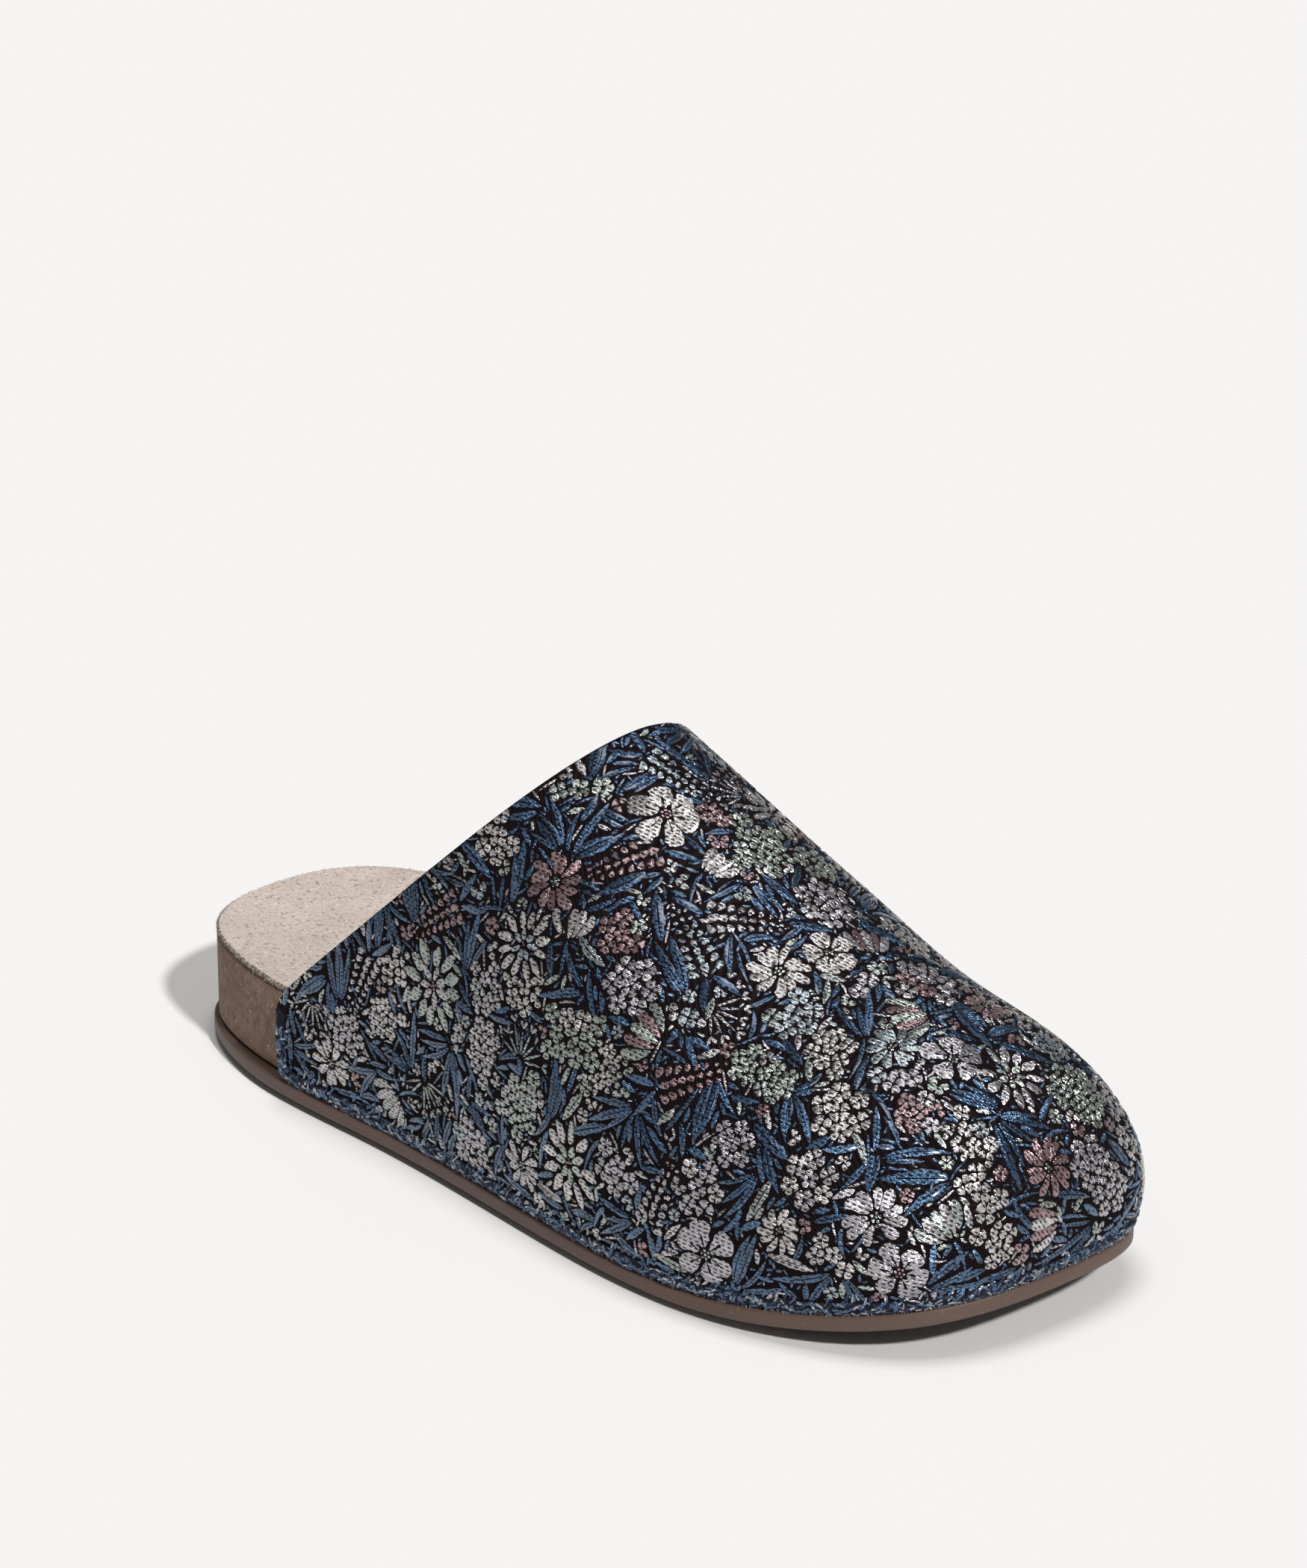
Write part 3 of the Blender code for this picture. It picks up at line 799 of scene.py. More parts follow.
def band_paint():
    """The ground of the sewn band: near black, mottled with navy."""
    paint = Paint("band_ground", Roughness=0.8, Specular_IOR_Level=0.2)
    base = paint.specks(GROUND_DARK, (1.8, 3.0, 0.0, 0.42, 0.62, BAND_GROUND))
    cells = paint.node("TexVoronoi", {"Vector": paint.place(), "Scale": 1 / (0.6 * MM)}, "Distance")
    return paint.finish(base, cells, -0.2 * MM, 0.8)


def tie_marks(paint, along, across):
    """1 at the short dashes where the ground ties a float down, in rows that are shifted."""
    row = paint.math("DIVIDE", across, TIE_ACROSS)
    row_number = paint.math("FLOOR", row)
    step = paint.math("ADD", paint.math("DIVIDE", along, TIE_ALONG), paint.chance("1D", W=row_number))
    squares = []
    for share, size in ((step, TIE_ALONG / TIE_LENGTH), (row, TIE_ACROSS / TIE_WIDTH)):
        off = paint.math("MULTIPLY", paint.math("SUBTRACT", paint.math("FRACT", share), 0.5), size)
        squares.append(paint.math("MULTIPLY", off, off))
    reach = paint.math("SQRT", paint.math("ADD", *squares))
    cell = paint.node("CombineXYZ", {"X": paint.math("FLOOR", step), "Y": row_number}, "Vector")
    there = paint.math("LESS_THAN", paint.chance("2D", Vector=cell), TIE_SHARE)
    return paint.math("MULTIPLY", paint.between(reach, 1.2, 0.6), there)


def thread_paint(name, colour, ties):
    """Satin floats of one colour, with the small dark ties that hold them down."""
    paint = Paint(name, Roughness=0.25, Metallic=THREAD_METAL, Coat_Weight=0.5, Coat_Roughness=0.16)
    threads = paint.node("UVMap", {}, "UV", uv_map="threads")
    split = paint.node("SeparateXYZ", {"Vector": threads}, "X").node
    along, across = split.outputs["X"], split.outputs["Y"]
    thread = paint.math("FLOOR", paint.math("DIVIDE", across, THREAD_PITCH))
    darker, lighter = (tuple(min(1.0, share * c) for c in colour) for share in THREAD_SHADES)
    base = paint.mix(paint.chance("1D", W=thread), darker, lighter)
    base = paint.specks(base, (3, 3.0, 0.0, 0.35, 0.75, colour))
    round_thread = paint.math("SINE", paint.math("MULTIPLY", across, 2 * math.pi / THREAD_PITCH))
    # Painted shade in the valleys between threads, in the ground's dark colour
    valley_shade = paint.between(round_thread, -0.3, -1.0)
    base = paint.mix(paint.math("MULTIPLY", valley_shade, VALLEY_SHADE), base, GROUND_DARK)
    uneven = paint.math("MULTIPLY", paint.noise(FLOAT_UNEVEN, 1.0), FLOAT_SWELL)
    height = paint.math("ADD", paint.math("MULTIPLY", round_thread, 0.5), uneven)
    if ties:
        tie = tie_marks(paint, along, across)
        base = paint.mix(paint.math("MULTIPLY", tie, TIE_DARK), base, GROUND_DARK)
        height = paint.math("SUBTRACT", height, paint.math("MULTIPLY", tie, TIE_DEPTH))
    return paint.finish(base, height, FLOAT_DEPTH)


def lining_paint():
    paint = Paint("lining", Roughness=0.85, Sheen_Weight=0.3)
    nap = paint.noise(0.6 * MM, 3.0)
    return paint.finish(paint.mix(nap, (0.16, 0.125, 0.105), (0.26, 0.21, 0.18)), nap, 0.15 * MM, 0.6)


def suede_paint():
    """Pinkish cream suede: cloudy shade, fine dark and pale flecks and a short nap."""
    paint = Paint("suede", Roughness=0.95, Specular_IOR_Level=0.15, Sheen_Weight=0.2, Sheen_Roughness=0.5)
    base = paint.specks(
        (0.515, 0.430, 0.374),
        (11, 4.0, 0.0, 0.30, 0.70, (0.585, 0.496, 0.438)),
        (1.1, 5.0, 0.0, 0.53, 0.68, (0.31, 0.245, 0.20)),
        (0.8, 4.0, 0.1, 0.54, 0.72, (0.73, 0.665, 0.605)),
    )
    return paint.finish(base, paint.noise(1.1 * MM, 5.0), 0.4 * MM, 0.8)


def suede_edge_paint():
    """The cut edge of the suede: tufts of grey, olive and cream with dark gaps."""
    paint = Paint("suede_edge", Roughness=1.0, Specular_IOR_Level=0.1)
    base = paint.specks(
        (0.150, 0.120, 0.095),
        (1.1, 4.0, 0.0, 0.40, 0.62, (0.47, 0.41, 0.35)),
        (0.9, 3.0, 0.2, 0.56, 0.68, (0.075, 0.058, 0.045)),
    )
    return paint.finish(base, paint.noise(1.1 * MM, 4.0), 0.4 * MM, 0.8)


def cork_paint():
    """Fine cork: soft granules of reddish brown, a few of them warm and pale, and small pits, darkened with
    painted shade where the relief is low.
    """
    paint = Paint("cork", Roughness=0.8, Specular_IOR_Level=0.3)
    base = paint.specks(
        (0.170, 0.106, 0.078),
        (2.4, 3.0, 0.0, 0.30, 0.70, (0.252, 0.163, 0.122)),
        (1.0, 4.0, 0.0, 0.62, 0.70, (0.48, 0.31, 0.21)),
        # Dark specks where the relief is low: painted shade in the small pits
        (1.6, 4.0, 0.3, 0.36, 0.29, (0.055, 0.036, 0.027)),
    )
    return paint.finish(base, paint.noise(1.6 * MM, 4.0, 0.3), 0.3 * MM, 0.6)


def rubber_paint(name, dark, light):
    """Smooth rubber with a soft cloudy shade, a little dust and a fine moulded grain."""
    paint = Paint(name, Specular_IOR_Level=0.4)
    cloud = paint.noise(18 * MM, 3.0)
    gloss = paint.node("MapRange", {"Value": cloud, "To Min": 0.45, "To Max": 0.62}, "Result")
    paint.feed(paint.shader.inputs["Roughness"], gloss)
    dust = tuple(2 * c for c in light)
    base = paint.specks(paint.mix(cloud, dark, light), (1.2, 4.0, 0.0, 0.66, 0.78, dust))
    return paint.finish(base, paint.noise(0.5 * MM), 0.05 * MM, 0.5)


def fibre_paint(name, dark, pale):
    paint = Paint(name, Roughness=1.0, Specular_IOR_Level=0.1)
    return paint.finish(paint.specks(dark, (1.5, 2.0, 0.0, 0.4, 0.6, pale)))


# A petal, leaf, bead or thread of the pattern, flat: where it starts, which way it points, and its shape
Petal = namedtuple("Petal", "start angle length half colour form bend vein")

# Share of the greatest half width at a share s of the length, for each form
HALF_WIDTHS = {
    "petal": lambda s: s**0.55 * np.sqrt(np.clip(1 - s**5, 0, 1)) / 0.80,
    "leaf": lambda s: 1.9 * s**0.65 * np.clip(1 - s, 0, 1) ** 0.75 / 1.02,
    "bead": lambda s: np.sqrt(np.clip(1 - (2 * s - 1) ** 2, 0, 1)),
    "blade": lambda s: np.clip(5 * s, 0, 1) ** 0.5 * np.clip(3 * (1 - s), 0, 1) ** 0.6,
}


def petal(start, angle, length, half, colour, form="petal", bend=0.0, vein=0.0):
    """Sizes in millimetres; vein is the share of its length that is slit from its root."""
    return Petal(np.array(start) * MM, angle, length * MM, half * MM, colour, form, bend * MM, vein)


def half_width(leaf, s):
    return leaf.half * np.clip(HALF_WIDTHS[leaf.form](s), 0, 1)


def heading(leaf):
    """The flat directions along and across a petal."""
    ahead = np.array([math.cos(leaf.angle), math.sin(leaf.angle)])
    return ahead, np.array([-ahead[1], ahead[0]])


def covers(leaf, flat, gap):
    """Which flat points lie under a petal widened by a gap."""
    along, across = heading(leaf)
    x = (flat - leaf.start) @ along
    s = x / leaf.length
    y = (flat - leaf.start) @ across - leaf.bend * s**2
    wide = half_width(leaf, np.clip(s, 0, 1)) + gap
    return (np.abs(y) < wide) & (x > -gap) & (x < leaf.length + gap)


class Cloth:
    """Where the pattern lies: sites spread over the face, some taken, and the surface under the petals."""

    def __init__(self, face, rng):
        self.rng = rng
        self.sites, self.normals = self.scatter(face)
        self.taken = np.zeros(len(self.sites), bool)
        self.tree = kdtree.KDTree(len(self.sites))
        for i, site in enumerate(self.sites):
            self.tree.insert(site, i)
        self.tree.balance()
        self.surface = self.surface_of(face, ~face.in_band)
        self.band_surface = self.surface_of(face, np.ones_like(face.in_band))

    def scatter(self, face):
        """Sites spread evenly over the face, off its sewn band."""
        points, free = face.points, ~face.in_band
        corners = points[:-1, :-1], points[1:, :-1], points[:-1, 1:]
        square = np.cross(corners[1] - corners[0], corners[2] - corners[0])
        area = np.linalg.norm(square, axis=2) * (free[:-1, :-1] & free[1:, 1:])
        share = np.cumsum(area.ravel()) / area.sum()
        chosen = np.searchsorted(share, self.rng.random(SITES))
        i, j = np.unravel_index(chosen, area.shape)
        a, b = self.rng.random((2, SITES, 1))
        sites = (points[i, j] * (1 - a) + points[i + 1, j] * a) * (1 - b)
        sites = sites + (points[i, j + 1] * (1 - a) + points[i + 1, j + 1] * a) * b
        self.density = SITES / area.sum()
        return sites, face.normals[i, j]

    def surface_of(self, face, wanted):
        """A tree of the wanted faces for finding the nearest place."""
        number = np.arange(wanted.size).reshape(wanted.shape)
        keep = wanted[:-1, :-1] & wanted[1:, 1:] & wanted[1:, :-1] & wanted[:-1, 1:]
        i, j = np.nonzero(keep)
        quads = np.column_stack([number[i, j], number[i + 1, j], number[i + 1, j + 1], number[i, j + 1]])
        return BVHTree.FromPolygons(face.points.reshape(-1, 3).tolist(), quads.tolist())

    def axes(self, normal, angle):
        """Directions at a place: a motif's own along and across, and the floats' along and across."""
        normal = Vector(normal)
        run = (CLOTH_RUN - normal * CLOTH_RUN.dot(normal)).normalized()
        found = []
        for turn in (angle, FLOAT_ANGLE):
            along = Quaternion(normal, turn) @ run
            found += [np.array(along), np.array(normal.cross(along))]
        return found

    def near(self, centre, reach):
        return np.array([i for place, i, gone in self.tree.find_range(centre, reach)], int)


class Pattern:
    """The woven pattern, laid motif by motif where the cloth is free; meshes are gathered by colour."""

    def __init__(self, cloth):
        self.cloth = cloth
        self.rng = cloth.rng
        self.parts = {}

    def lay(self, centre, normal, angle, motif, least):
        """Lays those petals of a motif that find room, if their share is at least as asked."""
        cloth = self.cloth
        axes = cloth.axes(normal, angle)
        reach = max(np.linalg.norm(leaf.start) + leaf.length + abs(leaf.bend) for leaf in motif) + MM
        near = cloth.near(centre, reach)
        if len(motif) > MANY_PETALS and cloth.taken[near].mean() > CROWDED - least:
            return
        near = near[cloth.normals[near] @ normal > FACING]
        steps = cloth.sites[near] - centre
        flat = np.column_stack([steps @ axes[0], steps @ axes[1]])
        kept, taken = [], []
        for leaf in motif:
            under = near[covers(leaf, flat, 0.0)]
            wanted = PETAL_AREA * leaf.length * leaf.half * cloth.density
            if len(under) < ROOM * wanted or cloth.taken[under].mean() > OVERLAP:
                continue
            kept.append(leaf)
            taken.append(near[covers(leaf, flat, PETAL_GAP)])
        if len(kept) < max(1, least * len(motif)):
            return
        for leaf in kept:
            self.add(leaf, centre, axes, cloth.surface)
        cloth.taken[np.concatenate(taken)] = True

    def add(self, leaf, centre, axes, surface):
        """The raised mesh of one petal, laid on the surface; the weave cuts its outline in small steps."""
        along, across, floats, over = axes
        fine = leaf.half > FINE_HALF
        rows, rise = FINE_ROWS if fine else NARROW_ROWS
        count = int(np.clip(leaf.length / PETAL_STEP, *PETAL_STEPS))
        s = (1 - np.cos(np.linspace(0, math.pi, count + 1))) / 2
        wide = np.maximum(leaf.half * PETAL_TIP, half_width(leaf, s))[:, None]
        wide = wide * (1 + PETAL_JAG * (self.rng.random((count + 1, len(rows))) - 0.5))
        ahead, aside = heading(leaf)
        offset = rows * wide + leaf.bend * s[:, None] ** 2
        flat = leaf.start + ahead * leaf.length * s[:, None, None] + aside * offset[:, :, None]
        places = centre + flat[:, :, :1] * along + flat[:, :, 1:] * across
        high = np.outer((s > 0) & (s < 1), rise)
        if leaf.vein and fine:
            high[s < leaf.vein, 2] = 0
        lift = (PETAL_ROOT + (PETAL_RISE - PETAL_ROOT) * high).ravel()
        found = [surface.find_nearest(place) for place in places.reshape(-1, 3)]
        spots, normals = (np.array([hit[k] for hit in found]) for k in (0, 1))
        points = spots + normals * lift[:, None]
        threads = np.column_stack([points @ floats, points @ over]) / MM
        out = aside * rows[None, :, None] + ahead * (2 * s - 1)[:, None, None]
        lean = (out[:, :, :1] * along + out[:, :, 1:] * across).reshape(-1, 3) * PETAL_PUFF
        turn, tilt = self.rng.uniform(0, 2 * math.pi), self.rng.normal(0, PETAL_TILT)
        lean = lean + (along * math.cos(turn) + across * math.sin(turn)) * tilt
        self.gather(leaf.colour, points, threads, normals + lean, count + 1, len(rows))

    def gather(self, colour, points, threads, normals, lines, rows):
        vertices, quads, maps, leans = self.parts.setdefault(colour, ([], [], [], []))
        first = len(vertices)
        vertices.extend(points)
        maps.extend(threads)
        leans.extend(unit(normals))
        for i in range(lines - 1):
            for j in range(rows - 1):
                corner = first + i * rows + j
                quads.append((corner, corner + rows, corner + rows + 1, corner + 1))

    def pieces(self, prefix, ties):
        """One piece for each colour, with the map that its threads follow and the lean of its shading."""
        for colour, (vertices, quads, maps, leans) in self.parts.items():
            name = f"{prefix}_{colour}"
            mesh = listed_mesh(name, [tuple(point) for point in vertices], quads)
            layer = mesh.uv_layers.new(name="threads")
            corners = np.empty(len(mesh.loops), np.int32)
            mesh.loops.foreach_get("vertex_index", corners)
            layer.data.foreach_set("uv", np.array(maps, np.float32)[corners].ravel())
            finished(name, mesh, "upper", thread_paint(name, THREADS[colour], ties))
            mesh.normals_split_custom_set_from_vertices([tuple(lean) for lean in leans])


def polar(radius, angle, x=0.0):
    """A flat place that far out from a middle at x."""
    return x + radius * math.cos(angle), radius * math.sin(angle)


def turns(count):
    """Even angles all round."""
    return np.arange(count) * 2 * math.pi / count


def ring(count, start, length, half, colour, form="petal", turn=0.0, bend=0.0, vein=0.0):
    """Petals pointing out of a centre."""
    made = []
    for angle in turns(count) + turn:
        made.append(petal(polar(start, angle), angle, length, half, colour, form, bend, vein))
    return made


def bead(x, y, radius, colour):
    return petal((x - radius, y), 0.0, 2 * radius, radius, colour, "bead")


def heart(count, radius, size, colour):
    """Beads round a middle bead."""
    around = [bead(*polar(radius, angle), size, colour) for angle in turns(count)]
    return [bead(0, 0, size, colour), *around]


def lone(length, half, colour, form, bend, vein=0.0):
    """A motif of one petal, laid by its middle."""
    return [petal((-length / 2, 0), 0.0, length, half, colour, form, bend, vein)]


def loosened(rng, motif, by=0.18):
    """The same motif, drawn less evenly."""
    made = []
    for leaf in motif:
        turn, longer, wider = rng.uniform(-by, by, 3)
        length, half = leaf.length * (1 + longer), leaf.half * (1 + wider)
        made.append(leaf._replace(angle=leaf.angle + turn, length=length, half=half))
    return made


def cosmos(rng):
    """Five or six broad petals, each slit at its root, round a heart of beads."""
    colour = rng.choice(PALE)
    count = rng.integers(5, 7)
    size = rng.uniform(0.62, 0.9)
    made = heart(6, 1.2 * size, 0.5 * size, rng.choice(["rose", "mint"]))
    half = (4.4 if count == 5 else 3.6) * size
    return made + loosened(rng, ring(count, 2.0 * size, 7.6 * size, half, colour, vein=0.55))


def aster(rng):
    """Two whorls of pointed petals."""
    outer, inner = rng.choice(PALE, 2, replace=False)
    size = rng.uniform(0.75, 1.05)
    made = heart(4, 0.8 * size, 0.4 * size, "rose")
    made += loosened(rng, ring(7, 1.3 * size, 3.9 * size, 1.45 * size, inner, "leaf"))
    return made + loosened(rng, ring(12, 4.6 * size, 5.6 * size, 1.95 * size, outer, "leaf", 0.2))


def daisy(rng):
    colour = rng.choice([*PALE, "rose"])
    size = rng.uniform(0.6, 0.95)
    made = heart(5, 1.1 * size, 0.5 * size, "mint" if colour != "mint" else "rose")
    bend = rng.uniform(-1.5, 1.5)
    return made + loosened(rng, ring(11, 2.0 * size, 6.2 * size, 1.65 * size, colour, bend=bend))


def floret(x, y, size, colour, turn, count=4):
    made = []
    for leaf in ring(count, 0.16 * size, size, 0.64 * size * 4 / count, colour, turn=turn):
        made.append(leaf._replace(start=leaf.start + np.array([x, y]) * MM))
    return made


def head(rng):
    """A crowded head of small florets, in one colour with a few of another."""
    main, other = rng.choice([*PALE, "rose"], 2, replace=False, p=HEAD_SHARES)
    radius = rng.uniform(5.0, 9.5)
    tall = rng.uniform(0.6, 1.0)
    size = rng.uniform(1.6, 2.4)
    pitch = 2.15 * size
    made = []
    for i in range(-4, 5):
        for j in range(-4, 5):
            x = pitch * (i + 0.5 * (j % 2)) + rng.uniform(-0.25, 0.25)
            y = pitch * 0.87 * j + rng.uniform(-0.25, 0.25)
            if math.hypot(x, y / tall) > radius * rng.uniform(0.9, 1.05):
                continue
            colour = main if rng.random() < 0.88 else other
            own_size, turn = size * rng.uniform(0.9, 1.08), rng.uniform(0, math.pi)
            made += floret(x, y, own_size, colour, turn, rng.integers(4, 6))
    return made


def spike(rng):
    """A tapering stem of small petals, in threes."""
    colour = rng.choice(["rose", "rose", "aqua", "silver"])
    made = []
    for row in range(8):
        x, size = 2.3 * row - 9, 2.7 - 0.2 * row
        for angle in (-0.95, 0.0, 0.95):
            made.append(petal((x, 0.75 * size * angle), angle, size, 0.42 * size, colour))
    for side in (1, -1):
        made.append(petal((-10, 0.6 * side), 2.5 * side, 8.0, 1.4, "blue", "leaf", 1.0 * side))
    return made


def bud(rng):
    """A half-open flower seen from its side, on a stem."""
    colour = rng.choice(PALE)
    inner = rng.choice(["rose", "silver"])
    size = rng.uniform(0.7, 1.0)
    made = [petal((-4 * size, 0), 0.0, 9.0 * size, 1.7 * size, colour)]
    for side in (1, -1):
        near, far = (-3.6 * size, 1.3 * side * size), (-3.3 * size, 2.7 * side * size)
        made.append(petal(near, 0.36 * side, 8.8 * size, 1.6 * size, inner, "petal", -side))
        made.append(petal(far, 0.80 * side, 8.0 * size, 1.7 * size, colour, "petal", -1.7 * side))
        made.append(petal((-5.5 * size, 0.8 * side), 1.9 * side, 4.5 * size, 0.9 * size, "blue", "leaf"))
    made.append(petal((-5.0 * size, 0), math.pi, 8.0, 0.55, "blue", "blade", rng.uniform(-3, 3)))
    return made


def spray(rng):
    """Thin strokes that fan out from one point and end in small petals."""
    colour = rng.choice(PALE)
    made = []
    for angle in np.linspace(-1.3, 1.3, 8):
        length = rng.uniform(4.5, 7.0)
        made.append(petal(polar(1.6, angle, -4), angle, length, 0.36, colour, "blade"))
        for turn in (-0.5, 0.5):
            made.append(petal(polar(1.9 + length, angle, -4), angle + turn, 2.2, 0.6, colour))
    return made


def tuft(rng):
    """Long leaves that leave one root, each bending its own way."""
    made = []
    for angle in np.linspace(-0.9, 0.9, 6) + rng.uniform(-0.15, 0.15, 6):
        length = rng.uniform(8, 17)
        half = rng.uniform(0.09, 0.13) * length
        bend = rng.uniform(-4, 4)
        made.append(petal(polar(2.2, angle, -6), angle, length, half, "blue", "leaf", bend, 0.7))
    return made


def long_leaf(rng):
    length = rng.uniform(6, 13)
    colour = "blue" if rng.random() < 0.85 else rng.choice(PALE)
    bend = rng.uniform(-3, 3)
    return lone(length, rng.uniform(0.14, 0.21) * length, colour, "leaf", bend, vein=0.75)


def blade(rng):
    return lone(rng.uniform(6, 15), rng.uniform(0.45, 0.85), "blue", "blade", rng.uniform(-4, 4))


def small_leaf(rng):
    length = rng.uniform(3.0, 6.0)
    colour = rng.choice(["blue", "blue", "blue", "mint", "silver"])
    return lone(length, 0.24 * length, colour, "leaf", rng.uniform(-1, 1))


def star(rng):
    colour = rng.choice([*PALE, "rose", "rose"])
    return floret(0, 0, rng.uniform(1.4, 2.3), colour, 0.0, rng.integers(4, 7))


def four_leaves(rng):
    """Small leaves in a cross."""
    colour = rng.choice(["blue", "blue", "rose", "silver", "mint"])
    return ring(4, 0.2, rng.uniform(1.8, 2.8), 0.7, colour, "leaf")


def twig(rng):
    length = rng.uniform(3.0, 6.0)
    return lone(length, 0.33, rng.choice(["blue", "silver"]), "blade", rng.uniform(-1.5, 1.5))


def scale(rng):
    """One small petal that fills a gap."""
    length = rng.uniform(1.3, 2.6)
    colour = "blue" if rng.random() < 0.7 else rng.choice(PALE)
    return lone(length, rng.uniform(0.26, 0.36) * length, colour, "leaf", rng.uniform(-0.5, 0.5))


# What is laid, in order: the motif, how often it is tried, and the share of its petals that must find room
LAYERS = (
    (head, 34, 0.85),
    (cosmos, 30, 0.9),
    (aster, 10, 0.85),
    (head, 56, 0.85),
    (spike, 90, 0.85),
    (daisy, 90, 0.9),
    (bud, 260, 0.85),
    (spray, 160, 0.8),
    (tuft, 900, 0.5),
    (head, 120, 0.5),
    (long_leaf, 1500, 1.0),
    (blade, 1500, 1.0),
    (star, 3000, 0.75),
    (small_leaf, 8000, 1.0),
    (four_leaves, 5000, 0.6),
    (twig, 6000, 1.0),
    (scale, 16000, 1.0),
)


def woven_pattern(cloth):
    pattern = Pattern(cloth)
    rng = cloth.rng
    for make, tries, least in LAYERS:
        free = np.nonzero(~cloth.taken)[0]
        for i in rng.choice(free, tries):
            if not cloth.taken[i]:
                angle = rng.uniform(0, 2 * math.pi)
                pattern.lay(cloth.sites[i], cloth.normals[i], angle, make(rng), least)
    pattern.pieces("brocade", ties=True)


def band_threads(cloth, face):
    """The crowded stitches that bind the hem and the rear edges."""
    stitches = Pattern(cloth)
    rng = cloth.rng
    top = int(np.searchsorted(face.points[0, :, 2], BAND_STITCH_TOP))
    rear = slice(BAND_MIDDLE - 1, top)
    lines = [(face.points[:, BAND_MIDDLE], face.normals[:, BAND_MIDDLE])]
    lines += [(face.points[i, rear], face.normals[i, rear]) for i in (BAND_MIDDLE, -1 - BAND_MIDDLE)]
    for points, normals in lines:
        gone = distances(points)
        wanted = np.arange(0, gone[-1], BAND_PITCH)
        for place, distance in zip(at_distances(points, wanted), wanted):
            i = int(np.clip(np.searchsorted(gone, distance), 1, len(points) - 1))
            along = points[i] - points[i - 1]
            along /= np.linalg.norm(along)
            across = np.cross(normals[i], along)
            for row in BAND_ROWS:
                length = rng.uniform(*STITCH_LENGTH)
                slant = rng.choice([-1, 1]) * rng.uniform(*STITCH_SLANT)
                start = (-length / 2, row + rng.uniform(*STITCH_STRAY))
                half = rng.uniform(*STITCH_HALF)
                colour = rng.choice(BAND_COLOURS)
                bend = rng.uniform(*STITCH_BEND)
                stitch = petal(start, slant, length, half, colour, "blade", bend)
                stitches.add(stitch, place, (along, across, along, across), cloth.band_surface)
    stitches.pieces("band", ties=False)


def fibre_mesh(name, roots, outwards, length, rng):
    """Short fibres that stand off an edge, leaning every way."""
    vertices, faces = [], []
    for root, out in zip(roots, outwards):
        side = np.array([-out[1], out[0], 0.0])
        lean = out * rng.uniform(*FIBRE_OUT) + side * rng.uniform(*FIBRE_ASIDE)
        lean[2] += rng.uniform(*FIBRE_UP)
        tip = root + lean * length * rng.uniform(*FIBRE_SHARE)
        first = len(vertices)
        vertices += [tuple(root - side * FIBRE_WIDTH / 2), tuple(root + side * FIBRE_WIDTH / 2), tuple(tip)]
        faces.append((first, first + 1, first + 2))
    return listed_mesh(name, vertices, faces)


def sock_nap(outline, footbed, rng):
    """The fuzz along the cut edge of the suede: a dark half and a pale half of its fibres."""
    plan = outline.ring(-NAP_INSIDE)
    heights = edge_heights(plan, footbed) + CLEARANCE + NAP_ROOT * SOCK_THICKNESS
    chosen = rng.integers(0, len(plan), NAP_COUNT)
    along = np.column_stack([-outline.normals[:, 1], outline.normals[:, 0]])[chosen]
    roots = plan[chosen] + along * rng.uniform(*NAP_STRAY, (NAP_COUNT, 1)) * MM
    heights = heights[chosen] + rng.uniform(*NAP_HEIGHTS, NAP_COUNT) * MM
    outwards = np.column_stack([outline.normals[chosen], np.zeros(NAP_COUNT)])
    roots = np.column_stack([roots, heights]) - MIDDLE
    halves = np.split(roots, 2), np.split(outwards, 2)
    for (name, dark, pale), own_roots, own_outwards in zip(NAP_COLOURS, *halves):
        mesh = fibre_mesh(name, own_roots, own_outwards, NAP_LENGTH, rng)
        finished(name, mesh, "insole", fibre_paint(name, dark, pale))


def hem_fray(face, rng):
    chosen = rng.integers(1, len(face.points) - 1, FRAY_COUNT)
    share = rng.random((FRAY_COUNT, 1))
    roots = face.points[chosen, 1] * share + face.points[chosen - 1, 1] * (1 - share)
    mesh = fibre_mesh("hem_fray", roots, face.normals[chosen, 1], FRAY_LENGTH, rng)
    finished("hem_fray", mesh, "upper", fibre_paint("fray", *FRAY_COLOURS))


def cut_grooves(outsole):
    """Cuts the tread's grooves for good, and drops the cutter."""
    cutter = new_object("grooves", shape_mesh("grooves", groove_cutters()))
    cut = outsole.modifiers.new("grooves", "BOOLEAN")
    cut.operation = "DIFFERENCE"
    cut.solver = "EXACT"
    cut.object = cutter
    graph = bpy.context.evaluated_depsgraph_get()
    outsole.data = bpy.data.meshes.new_from_object(outsole.evaluated_get(graph))
    outsole.modifiers.clear()
    bpy.data.objects.remove(cutter)


def sole_pieces(outline, rng):
    mesh = shape_mesh("outsole_rubber", outsole_shape(outline))
    rubbers = rubber_paint("rubber", *RIM_COLOURS), rubber_paint("tread", *TREAD_SHADE_COLOURS)
    outsole = finished("outsole_rubber", mesh, "outsole", *rubbers)
    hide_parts("outsole")
    cut_grooves(outsole)

    footbed = footbed_top()
    shape = block_shape(outline, CORK_EDGE, lambda x, across: RIM_TOP + CLEARANCE + spring(x), footbed)
    cork = finished("cork_block", shape_mesh("cork_block", shape), "midsole", cork_paint())
    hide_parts("midsole")

    shape = block_shape(
        outline,
        SOCK_EDGE,
        lambda x, across: footbed(x, across) + CLEARANCE,
        lambda x, across: footbed(x, across) + CLEARANCE + SOCK_THICKNESS,
        side_material=1,
    )
    mesh = shape_mesh("suede_sock", shape)
    sock = finished("suede_sock", mesh, "insole", suede_paint(), suede_edge_paint())
    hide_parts("insole")
    sock_nap(outline, footbed, rng)


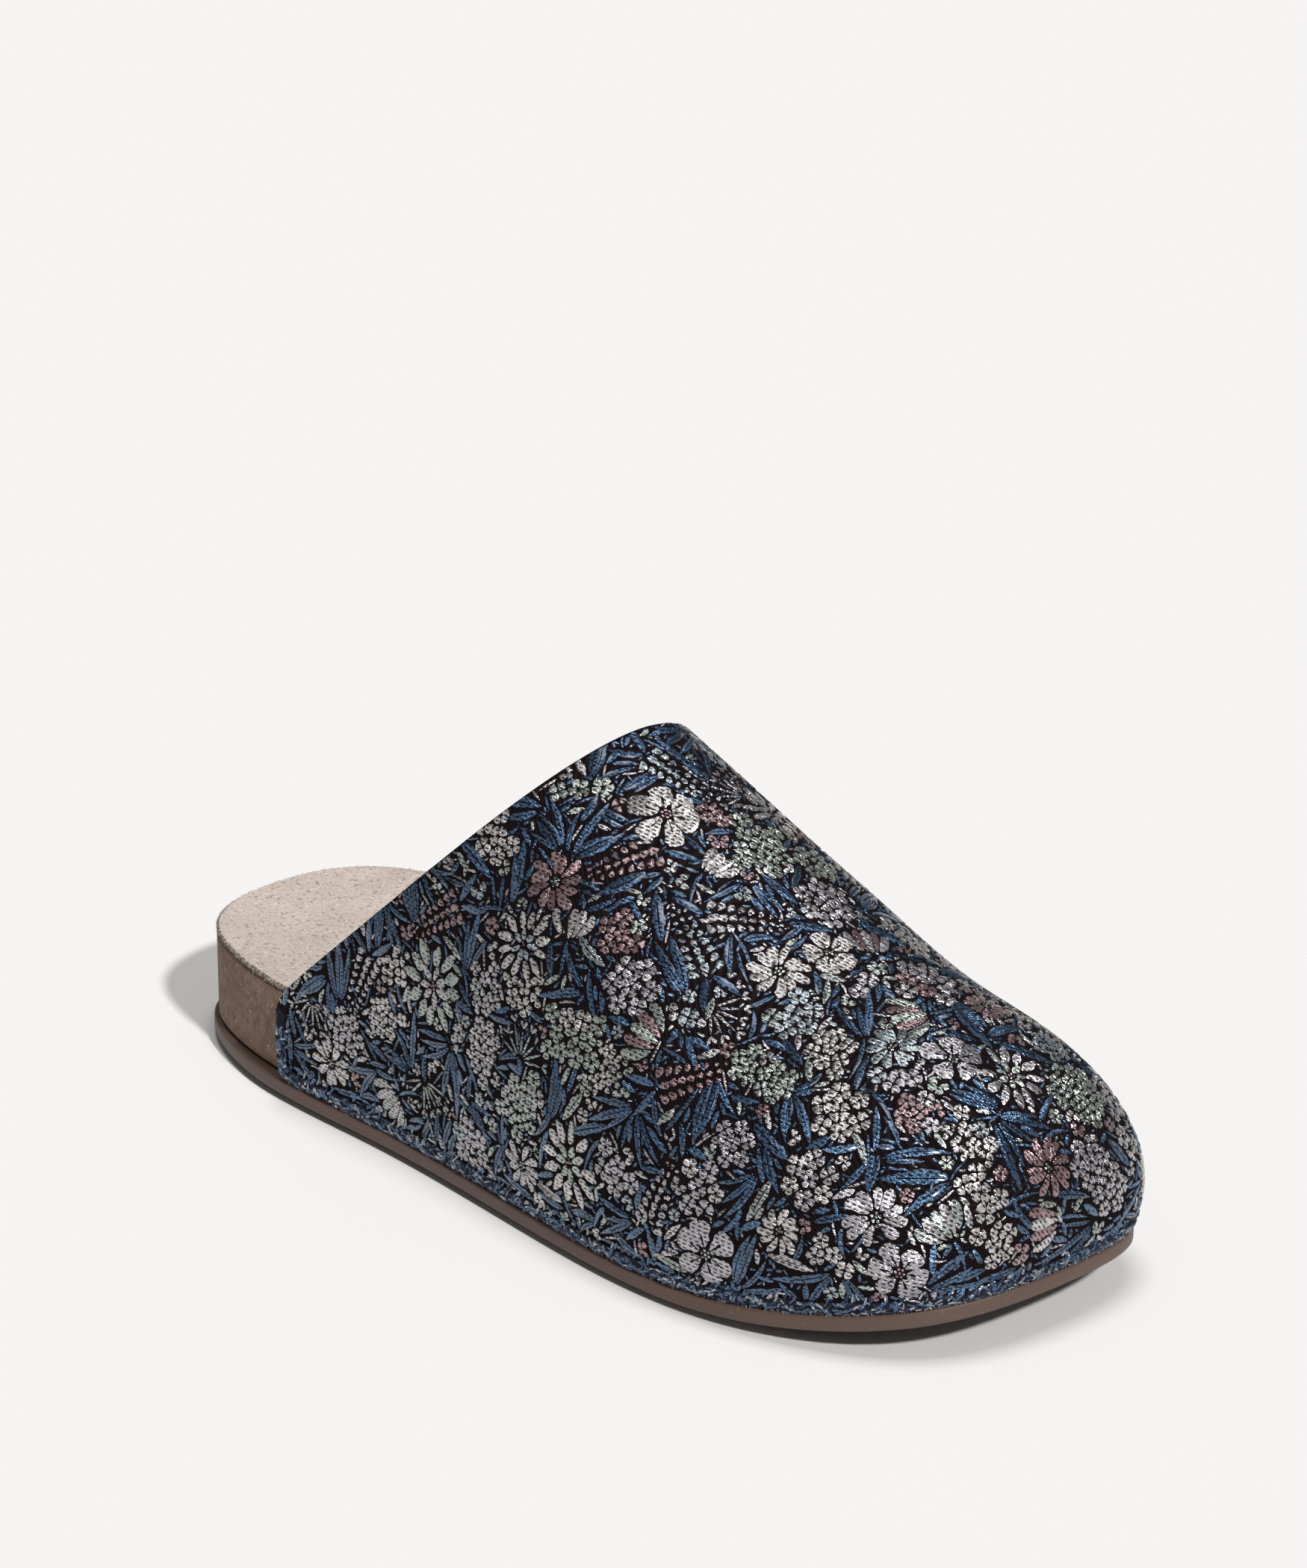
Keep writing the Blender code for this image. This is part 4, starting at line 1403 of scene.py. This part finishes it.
def upper_pieces(outline, rng):
    face = Face(Last(outline))
    face.crumple()
    mesh = shape_mesh("brocade_cloth", cloth_shape(face))
    cloth_piece = finished("brocade_cloth", mesh, "upper", ground_paint(), band_paint())
    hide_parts("upper")
    finished("upper_lining", shape_mesh("upper_lining", lining_shape(face)), "upper", lining_paint())
    cloth = Cloth(face, rng)
    woven_pattern(cloth)
    band_threads(cloth, face)
    hem_fray(face, rng)


def direction(azimuth, elevation):
    """From the shoe towards a place that far round and up, as the camera's view is given."""
    a, e = math.radians(azimuth), math.radians(elevation)
    return Vector((math.sin(a) * math.cos(e), -math.cos(a) * math.cos(e), math.sin(e)))


def aimed(name, data, back):
    """A lamp or camera that looks against a direction."""
    made = new_object(name, data)
    made.rotation_mode = "QUATERNION"
    made.rotation_quaternion = (-back).to_track_quat("-Z", "Y")
    return made


def studio():
    """A pale floor, even light all round and two lamps."""
    corners = [(x * FLOOR_HALF, y * FLOOR_HALF, 0) for x, y in ((-1, -1), (1, -1), (1, 1), (-1, 1))]
    floor = new_object("floor", listed_mesh("floor", corners, [(0, 1, 2, 3)]))
    paint = Paint("floor", Base_Color=FLOOR_COLOUR, Roughness=1.0, Specular_IOR_Level=0.0)
    floor.data.materials.append(paint.material)

    world = bpy.data.worlds.new("studio")
    world.use_nodes = True
    background = world.node_tree.nodes["Background"]
    background.inputs["Color"].default_value = (*STUDIO_COLOUR, 1)
    background.inputs["Strength"].default_value = STUDIO_LIGHT
    bpy.context.scene.world = world

    for name, azimuth, elevation, strength, angle in LAMPS:
        light = bpy.data.lights.new(name, "SUN")
        light.energy = strength
        light.angle = math.radians(angle)
        aimed(name, light, direction(azimuth, elevation))


def photo_camera():
    data = bpy.data.cameras.new("camera")
    data.lens = CAMERA_LENS
    data.sensor_width = SENSOR
    data.clip_start, data.clip_end = CAMERA_CLIP
    back = direction(CAMERA_AZIMUTH, CAMERA_ELEVATION)
    camera = aimed("camera", data, back)
    camera.location = CAMERA_TARGET + back * CAMERA_DISTANCE
    bpy.context.scene.camera = camera


def clear_scene():
    for old in list(bpy.data.objects):
        bpy.data.objects.remove(old)


clear_scene()
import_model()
bpy.context.scene.view_settings.view_transform = "Standard"
random = np.random.default_rng(SEED)
sole_outline = Outline()
sole_pieces(sole_outline, random)
upper_pieces(sole_outline, random)
studio()
photo_camera()
